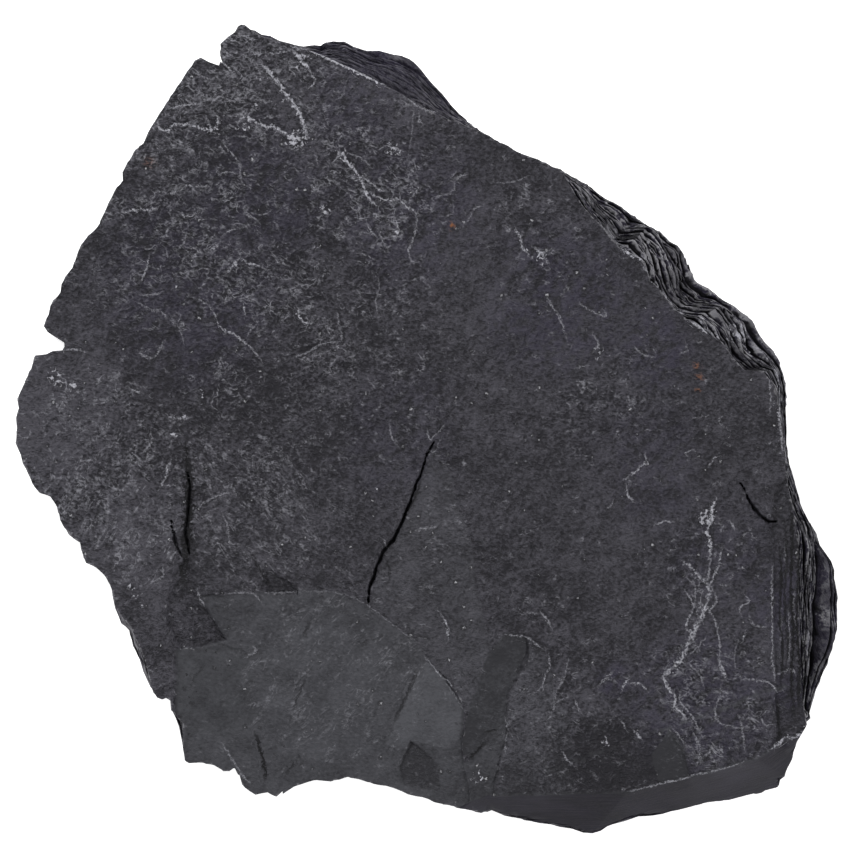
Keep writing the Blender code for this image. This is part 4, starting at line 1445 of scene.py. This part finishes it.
def wandering_lines_effect():
    """Thin curling lines where a cloudy pattern crosses its middle value, broken in places by a
    second one, and the shade along one side of each: painted highlights and painted shade of small
    steps in the face. Cover runs from none at 0 to nearly all at 1."""
    bench, entry, leave = new_effect("wandering_lines", ("Lines", "Shade"), Size=2.0,
                                     Width=0.02, Cover=0.5, Turn=0.0, Stretch=1.6)
    drawn = drawn_out(bench, entry)
    pace = bench.one_over(entry["Size"])
    cloud = bench.noise(drawn, pace, 2.0, 0.55, 0.8)
    above = bench.minus(cloud, 0.5)
    line = bench.band(bench.size_of(above), bench.times(entry["Width"], 0.15), entry["Width"],
                      1.0, 0.0)
    below = bench.size_of(bench.scaled(entry["Width"], 1.5, above))
    shade = bench.band(below, 0.0, bench.times(entry["Width"], 1.3), 1.0, 0.0)
    moved = bench.shift("ADD", drawn, (31.0, 17.0, 5.0))
    torn = bench.noise(moved, bench.times(pace, 0.8), 2.0, 0.6)
    bar = bench.scaled(entry["Cover"], -0.46, 0.70)
    kept = bench.band(torn, bar, bench.plus(bar, 0.2))
    bench.wire(bench.times(line, kept), leave["Lines"])
    bench.wire(bench.times(shade, kept), leave["Shade"])


def mica_specks_effect():
    """Scattered bright flecks, painted glints of mica, each in a painted ring of shade, and a few
    dark pits: a small round spot in some cells of a cell pattern."""
    bench, entry, leave = new_effect("mica_specks", ("Specks", "Pits_and_ring_shade"), Spacing=1.0, Size=0.15,
                                     Share=0.2)
    pace = bench.one_over(entry["Spacing"])
    stir = bench.noise(entry["Vector"], 3.0, 0.0, out=1)
    stirred = bench.shift("ADD", entry["Vector"], bench.shift("SCALE", stir, 0.6))
    cells = bench.put("ShaderNodeTexVoronoi", {"Vector": stirred, "Scale": pace})
    parts = bench.put("ShaderNodeSeparateColor", {"Color": cells.outputs["Color"]}).outputs
    chosen = bench.band(parts[0], bench.minus(1.0, entry["Share"]), 1.0)
    chosen = bench.band(chosen, 0.0, 0.5)
    size = bench.times(bench.times(entry["Size"], pace), bench.scaled(parts[1], 1.2, 0.35))
    away = cells.outputs["Distance"]
    spot = bench.band(away, bench.times(size, 0.3), size, 1.0, 0.0)
    wider = bench.times(size, 2.2)
    ring = bench.minus(bench.band(away, size, wider, 1.0, 0.0), spot)
    bench.wire(bench.times(spot, chosen), leave["Specks"])
    pit = bench.times(spot, bench.band(parts[2], 0.94, 0.98))
    # The painted ring of shade round each speck.
    hollow = bench.times(bench.times(ring, chosen), 0.55)
    bench.wire(bench.most(pit, hollow), leave["Pits_and_ring_shade"])


def powder_patches_effect():
    """Small pale crushed blobs, thick where Cover is high."""
    bench, entry, leave = new_effect("powder_patches", ("Powder",), Size=0.7, Cover=0.5)
    cloud = bench.noise(entry["Vector"], bench.one_over(entry["Size"]), 2.0, 0.6, 0.4)
    bar = bench.scaled(entry["Cover"], -0.24, 0.70)
    blobs = bench.band(cloud, bar, bench.plus(bar, 0.10))
    bench.wire(bench.times(blobs, bench.band(entry["Cover"], 0.0, 0.35)), leave["Powder"])


def broken_edges_effect():
    """Where an edge stands out it is painted pale, as powder and as a painted highlight, and where
    a hollow sinks it is painted dark, as dirt and as painted shade: the marks of the bends, broken
    up by a fine grain."""
    bench, entry, leave = new_effect("broken_edges", ("Powder", "Dirt_and_shade"), Worn=0.0, Hollow=0.0,
                                     Size=0.7, Least=0.3)
    cloud = bench.noise(entry["Vector"], bench.one_over(entry["Size"]), 2.0, 0.7)
    uneven = bench.times(entry["Worn"], bench.band(cloud, 0.36, 0.64, 0.35, 1.3))
    bench.wire(bench.band(uneven, entry["Least"], bench.plus(entry["Least"], 0.35)),
               leave["Powder"])
    bench.wire(bench.band(entry["Hollow"], 0.06, 0.5), leave["Dirt_and_shade"])


def make_effects():
    """Builds every shared effect once."""
    stone_grain_effect()
    wandering_lines_effect()
    mica_specks_effect()
    powder_patches_effect()
    broken_edges_effect()


# ------------------------------------------------------------------ materials

def new_finish(name, sheen):
    """A material with one principled shader, and a bench to lay its nodes on."""
    material = bpy.data.materials.new(name)
    material.use_nodes = True
    shader = material.node_tree.nodes["Principled BSDF"]
    shader.inputs["Specular IOR Level"].default_value = sheen
    return material, Bench(material.node_tree), shader


def drawn_lines(bench, spot):
    """The lines drawn in the face: pale veins and a few painted highlights, the painted shade
    along one side of each, dark seams and painted shadows along cracks and steps, and how near the
    veins are. A line lies where its signed distance, stirred a little, is 0."""
    wander = bench.minus(bench.noise(spot, 1.2, 3.0, 0.75), 0.5)
    stir = bench.times(wander, 7.5)
    torn = bench.band(bench.noise(spot, 2.3, 2.0, 0.7), 0.38, 0.58, 0.15, 1.4)
    pale, shade, seams_and_shadows, beside = 0.0, 0.0, 0.0, 0.0
    for number in range(LINE_SETS):
        strength = bench.mark(f"line_strength_{number}")
        side = bench.plus(bench.mark(f"line_side_{number}"), stir)
        away = bench.size_of(side)
        line = bench.band(away, 0.3, 1.45, 1.0, 0.0)
        under = bench.band(bench.size_of(bench.minus(side, 2.4)), 0.3, 1.5, 0.6, 0.0)
        pale = bench.most(pale, bench.times(line, strength))
        shade = bench.most(shade, bench.times(under, strength))
        seams_and_shadows = bench.most(seams_and_shadows, bench.times(line, bench.times(strength, -1.0)))
        beside = bench.most(beside, bench.times(bench.band(away, 0.5, 5.0, 1.0, 0.0), strength))
    return bench.sum("MINIMUM", bench.times(pale, torn), 1.0), shade, seams_and_shadows, beside


def curling_web(bench, spot, grain, fresh):
    """The web of thin lines all over the face, painted highlights of small steps, and the painted
    shade beside them: a few large curls, many small ones that lie level, and strokes that lean or
    stand upright in places."""
    veined, slanted = bench.mark("veined"), bench.mark("slanted")
    cover = bench.times(veined, bench.scaled(fresh, -0.7, 1.0))
    curls = bench.group("wandering_lines", Vector=spot, Size=3.0, Width=0.042, Stretch=1.4,
                        Turn=0.25, Cover=cover)
    level = bench.group("wandering_lines", Vector=bench.shift("ADD", spot, (7.0, 3.0, 0.0)),
                        Size=1.3, Width=0.085, Stretch=1.35, Turn=0.2,
                        Cover=bench.scaled(cover, 0.8, 0.24))
    leaning = bench.group("wandering_lines", Vector=spot, Size=1.4, Width=0.08, Stretch=2.0,
                          Turn=bench.band(fresh, 0.1, 0.6, 0.85, -0.8),
                          Cover=bench.times(slanted, 0.7))
    upright = bench.group("wandering_lines", Vector=spot, Size=1.6, Width=0.08, Stretch=2.2,
                          Turn=-1.15, Cover=bench.times(bench.mark("upright"), 0.8))
    lines, shade = 0.0, 0.0
    for web, strength in ((curls, 0.36), (level, 0.22), (leaning, 0.17), (upright, 0.24)):
        lines = bench.most(lines, bench.times(web["Lines"], strength))
        shade = bench.most(shade, bench.times(web["Shade"], strength))
    patchy = bench.band(bench.noise(spot, 0.4, 1.0), 0.36, 0.62, 0.45, 1.35)
    uneven = bench.times(bench.band(grain, -0.22, 0.22, 0.1, 1.7), patchy)
    uneven = bench.times(uneven, bench.scaled(fresh, -0.5, 1.0))
    return bench.times(lines, uneven), bench.times(shade, uneven)


def face_body(bench, spot, fresh, colours):
    """The plain stone of the face: its colour before any line or speck, the fine grain, and
    the grain of both sizes that its tone and its bump follow."""
    old = bench.minus(1.0, fresh)
    grain = bench.group("stone_grain", Vector=spot, Size=0.62, Turn=0.2, Stretch=1.2)["Grain"]
    broad = bench.group("stone_grain", Vector=spot, Size=2.0, Turn=-0.7, Stretch=1.5)["Grain"]
    tone = bench.plus(bench.mark("tone"), 0.39)
    rough = bench.scaled(grain, 3.1, bench.times(broad, 1.8))
    rough = bench.times(rough, bench.scaled(bench.mark("veined"), 1.4, 0.75))
    tone = bench.scaled(rough, bench.scaled(old, 0.6, 0.4), tone)
    body = bench.blend(tone, colours.dark, colours.light)
    cast = bench.times(bench.mark("violet"), bench.band(broad, -0.16, 0.14, 0.0, 0.6))
    body = bench.blend(cast, body, colours.violet)
    smooth = bench.blend(tone, colours.fresh_dark, colours.fresh_light)
    return bench.blend(fresh, body, smooth), grain, rough


def split_face_finish(colours):
    """The split face and back: a dark grained body, curling pale lines painted as highlights of
    small steps, mica painted as glints, dark seams and painted shadows, and dirt and painted shade
    in the hollows.
    """
    material, bench, shader = new_finish("split_slate_face", 0.25)
    spot = bench.millimetres()
    fresh = bench.mark("fresh")
    body, grain, rough = face_body(bench, spot, fresh, colours)
    web, web_shade = curling_web(bench, spot, grain, fresh)
    pale, line_shade, seams_and_shadows, beside = drawn_lines(bench, spot)
    powdered = bench.most(bench.mark("powdered"), bench.times(beside, 0.75))
    powder = bench.group("powder_patches", Vector=spot, Size=0.75, Cover=powdered)
    lines = bench.most(web, bench.most(pale, powder["Powder"]))
    shade = bench.most(bench.times(web_shade, 0.9), line_shade)
    shade = bench.most(shade, bench.times(bench.mark("powdered"), 0.25))
    body = bench.blend(shade, body, colours.dark)
    body = bench.blend(lines, body, colours.vein_and_highlight)
    mica = bench.group("mica_specks", Vector=spot, Spacing=1.5, Size=0.26,
                       Share=bench.scaled(bench.mark("sparkle"), 0.7, 0.17))
    # The specks' pale colour is a painted glint of mica.
    body = bench.blend(bench.times(mica["Specks"], 0.7), body, colours.mica_glint)
    stain = bench.times(bench.mark("rust"), bench.band(grain, -0.08, 0.1))
    body = bench.blend(stain, body, colours.rust)
    edges = bench.group("broken_edges", Vector=spot, Worn=bench.mark("powder_and_edge_light"), Size=1.1,
                        Hollow=bench.mark("hollow"), Least=0.46)
    # Pale powder and a painted highlight on the face's edges that stand out.
    body = bench.blend(bench.times(edges["Powder"], 0.45), body, colours.powder_and_edge_light)
    # Dirt and painted shade in hollows, dark seams and painted shadows along cracks, and dark pits
    # with painted shade round the specks.
    dirt_and_shade = bench.most(bench.times(edges["Dirt_and_shade"], 0.35), bench.most(seams_and_shadows, mica["Pits_and_ring_shade"]))
    body = bench.blend(dirt_and_shade, body, colours.cleft_dirt_and_shade)
    bench.wire(body, shader.inputs["Base Color"])
    matt = bench.scaled(lines, -0.15, 0.6)
    bench.wire(bench.scaled(grain, 0.3, matt), shader.inputs["Roughness"])
    height = bench.times(rough, bench.scaled(fresh, -0.8, 1.0))
    height = bench.plus(height, bench.minus(lines, bench.plus(seams_and_shadows, shade)))
    bench.bump(height, 0.9, shader)
    return material


def edge_body(bench, spot, fresh, crumpled, even, colours):
    """The plain stone of the broken edge: its colour before any line or speck, the fine
    grain, the roughness that its tone and its bump follow, and a slow pattern that tells
    places apart. Level bands lie in it, less in even places, and slanting creases where it
    is crumpled."""
    flat = bench.shift("MULTIPLY", spot, (0.12, 0.12, 2.4))
    bands = bench.minus(bench.noise(flat, 1.0, 3.0, 0.7, 0.2), 0.5)
    grain = bench.group("stone_grain", Vector=spot, Size=0.55, Turn=1.05, Stretch=2.2)["Grain"]
    places = bench.group("stone_grain", Vector=spot, Size=7.0, Turn=0.6, Stretch=1.6)["Grain"]
    creases = bench.group("stone_grain", Vector=spot, Size=1.3, Turn=0.65, Stretch=3.0)["Grain"]
    broad = bench.scaled(bands, 3.0, bench.times(places, 1.6))
    fine = bench.times(grain, bench.scaled(crumpled, 1.8, 2.6))
    rough = bench.scaled(broad, bench.scaled(even, -0.8, 1.0), fine)
    rough = bench.scaled(bench.times(creases, 6.5), crumpled, rough)
    # Clean fractures are made darker here, partly as painted shade of faces turned from the light.
    base = bench.scaled(bench.mark("tone"), 0.6, bench.scaled(fresh, -0.12, 0.38))
    tone = bench.scaled(rough, bench.scaled(fresh, -0.84, 1.0), base)
    body = bench.blend(tone, colours.dark, colours.light)
    cast = bench.times(bench.band(places, -0.2, 0.2, 0.1, 0.6), bench.scaled(fresh, -0.7, 1.0))
    return bench.blend(cast, body, colours.violet), grain, rough, places


def layered_edge_finish(colours):
    """The broken edge: level bands of thin layers, powdery and painted with a highlight at their
    broken ends, dark with dirt and painted shade in the clefts between them, and painted lighter
    on the lower left side that faces the light."""
    material, bench, shader = new_finish("split_slate_edge", 0.08)
    spot = bench.millimetres()
    fresh, crumpled, even = bench.mark("fresh"), bench.mark("crumpled"), bench.mark("even")
    body, grain, rough, places = edge_body(bench, spot, fresh, crumpled, even, colours)
    edges = bench.group("broken_edges", Vector=spot, Worn=bench.mark("powder_and_edge_light"), Size=1.3,
                        Hollow=bench.mark("hollow"), Least=0.14)
    # Pale powder and a painted highlight on the broken ends of the layers.
    powder = bench.times(edges["Powder"], bench.band(places, -0.14, 0.12, 0.35, 1.0))
    powder = bench.times(powder, bench.scaled(even, -0.85, 1.0))
    body = bench.blend(powder, body, colours.powder_and_edge_light)
    crushed = bench.group("powder_patches", Vector=spot, Size=0.8, Cover=bench.mark("powdered"))
    pale, _shade, seams_and_shadows, _beside = drawn_lines(bench, spot)
    body = bench.blend(bench.most(crushed["Powder"], pale), body, colours.vein_and_highlight)
    mica = bench.group("mica_specks", Vector=spot, Spacing=1.5, Size=0.3,
                       Share=bench.scaled(bench.mark("sparkle"), 0.8, 0.10))
    glint = bench.scaled(fresh, -0.5, 0.5)
    body = bench.blend(bench.times(mica["Specks"], glint), body, colours.mica_glint)
    # Dirt and painted shade in the clefts, less where the edge is crumpled, and the dark lines
    # with their painted shadows.
    hold = bench.scaled(crumpled, -0.45, 0.95)
    dirt_and_shade = bench.most(bench.times(edges["Dirt_and_shade"], hold), seams_and_shadows)
    body = bench.blend(dirt_and_shade, body, colours.cleft_dirt_and_shade)
    # Painted light on the lower left side of the edge, which faces the light.
    body = bench.blend(bench.times(bench.mark("painted_lit_edge"), 0.5), body, colours.powder_and_edge_light)
    bench.wire(body, shader.inputs["Base Color"])
    bench.wire(bench.scaled(grain, 0.3, 0.62), shader.inputs["Roughness"])
    height = bench.times(rough, bench.scaled(fresh, -0.85, 1.0))
    bench.bump(height, 0.6, shader)
    return material


def floor_finish(glow):
    """Plain pale matt board, lit a little from below."""
    material, _bench, shader = new_finish("pale_floor", 0.1)
    shader.inputs["Base Color"].default_value = (0.86, 0.86, 0.86, 1.0)
    shader.inputs["Roughness"].default_value = 0.9
    shader.inputs["Emission Color"].default_value = (1.0, 1.0, 1.0, 1.0)
    shader.inputs["Emission Strength"].default_value = glow
    return material


# ------------------------------------------------------------------ operators

class SLATE_OT_stone(bpy.types.Operator):
    """Build the stone as one closed surface in place of the plain solid"""

    bl_idname = "slate.stone"
    bl_label = "Build the stone"

    def execute(self, context):
        sizes = context.scene.slab_sizes
        points, faces, on_edge = stone_surface(sizes)
        mesh = thinned(mesh_from_arrays("split_slate_slab", points, faces, on_edge),
                       sizes.triangles, (sizes.cells + 1) ** 2, sizes.evenness)
        if not mesh.polygons:
            raise RuntimeError("the stone has no faces")
        mesh.shade_smooth()
        mesh.set_sharp_from_angle(angle=math.radians(38.0))
        mark_stone(mesh)
        make_effects()
        mesh.materials.append(split_face_finish(context.scene.slate_colours))
        mesh.materials.append(layered_edge_finish(context.scene.slate_colours))
        stone = bpy.data.objects.new("split_slate_slab", mesh)
        context.scene.collection.objects.link(stone)
        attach(stone, "root")
        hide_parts(SLAB_NODE)
        return {"FINISHED"}


FLOOR_SIZE = 6.0
FLOOR_GAP = 0.05 * MM
FRAME_WIDTH, FRAME_HEIGHT = 856.0, 857.0
SENSOR = 36.0


class SLATE_OT_stage(bpy.types.Operator):
    """Lay a pale floor, and set the soft lights and the camera that looks straight down"""

    bl_idname = "slate.stage"
    bl_label = "Set the stage"

    def execute(self, context):
        settings = context.scene.stage_settings
        self.lay_floor(context, settings.floor_glow)
        self.light_it(context, settings)
        self.place_camera(context, settings)
        return {"FINISHED"}

    def lay_floor(self, context, glow):
        """One wide pale board that the stone lies on."""
        bpy.ops.mesh.primitive_plane_add(size=FLOOR_SIZE, location=(0.0, 0.0, -FLOOR_GAP))
        floor = context.active_object
        floor.name = "pale_floor"
        floor.data.materials.append(floor_finish(glow))

    def light_it(self, context, settings):
        """An even sky, one large soft light at the upper left and a weak one opposite."""
        world = bpy.data.worlds.new("even_sky")
        world.use_nodes = True
        world.node_tree.nodes["Background"].inputs["Color"].default_value = (1.0, 1.0, 1.0, 1.0)
        world.node_tree.nodes["Background"].inputs["Strength"].default_value = settings.sky
        context.scene.world = world
        context.scene.view_settings.view_transform = "Standard"
        for name, spot, size, power in (
                ("key_light", (-0.40, 0.62, 0.62), 0.45, settings.key_power),
                ("fill_light", (0.7, 0.1, 0.8), 0.7, settings.key_power * 0.25)):
            lamp = bpy.data.lights.new(name, "AREA")
            lamp.energy = power
            lamp.size = size
            holder = bpy.data.objects.new(name, lamp)
            holder.location = spot
            holder.rotation_euler = Vector(spot).to_track_quat("Z", "Y").to_euler()
            holder.visible_camera = False
            context.scene.collection.objects.link(holder)

    def place_camera(self, context, settings):
        """A long lens straight above, so that one drawing unit at half height is one
        picture element of the frame."""
        lens = bpy.data.cameras.new("camera")
        lens.lens = settings.lens
        lens.sensor_fit = "VERTICAL"
        lens.sensor_width = SENSOR
        lens.sensor_height = SENSOR
        camera = bpy.data.objects.new("camera", lens)
        middle = place((FRAME_WIDTH / 2, FRAME_HEIGHT / 2))[0]
        away = FRAME_HEIGHT * UNIT * settings.lens / SENSOR
        camera.location = (middle[0], middle[1], SLAB_THICKNESS / 2 + away)
        context.scene.collection.objects.link(camera)
        context.scene.camera = camera


class SLATE_PT_slab(bpy.types.Panel):
    """Sizes, colours and stage of the slate slab."""

    bl_idname = "SLATE_PT_slab"
    bl_label = "Slate Slab"
    bl_space_type = "VIEW_3D"
    bl_region_type = "UI"
    bl_category = "Slate"

    def draw(self, context):
        scene = context.scene
        for title, group, button in (
                ("Stone", scene.slab_sizes, "slate.stone"),
                ("Colours", scene.slate_colours, None),
                ("Stage", scene.stage_settings, "slate.stage")):
            box = self.layout.box()
            box.label(text=title)
            for name in group.__annotations__:
                box.prop(group, name)
            if button:
                box.operator(button)


CLASSES = (SlabSizes, SlateColours, StageSettings, SLATE_OT_stone, SLATE_OT_stage, SLATE_PT_slab)


def register():
    """Registers the classes and hangs the settings on the scene."""
    for item in CLASSES:
        bpy.utils.register_class(item)
    bpy.types.Scene.slab_sizes = bpy.props.PointerProperty(type=SlabSizes)
    bpy.types.Scene.slate_colours = bpy.props.PointerProperty(type=SlateColours)
    bpy.types.Scene.stage_settings = bpy.props.PointerProperty(type=StageSettings)


def unregister():
    """Takes the settings off the scene and unregisters the classes."""
    del bpy.types.Scene.stage_settings
    del bpy.types.Scene.slate_colours
    del bpy.types.Scene.slab_sizes
    for item in reversed(CLASSES):
        bpy.utils.unregister_class(item)


def main():
    """Builds the stone and its stage."""
    register()
    bpy.ops.slate.stone()
    bpy.ops.slate.stage()


if __name__ == "__main__":
    main()
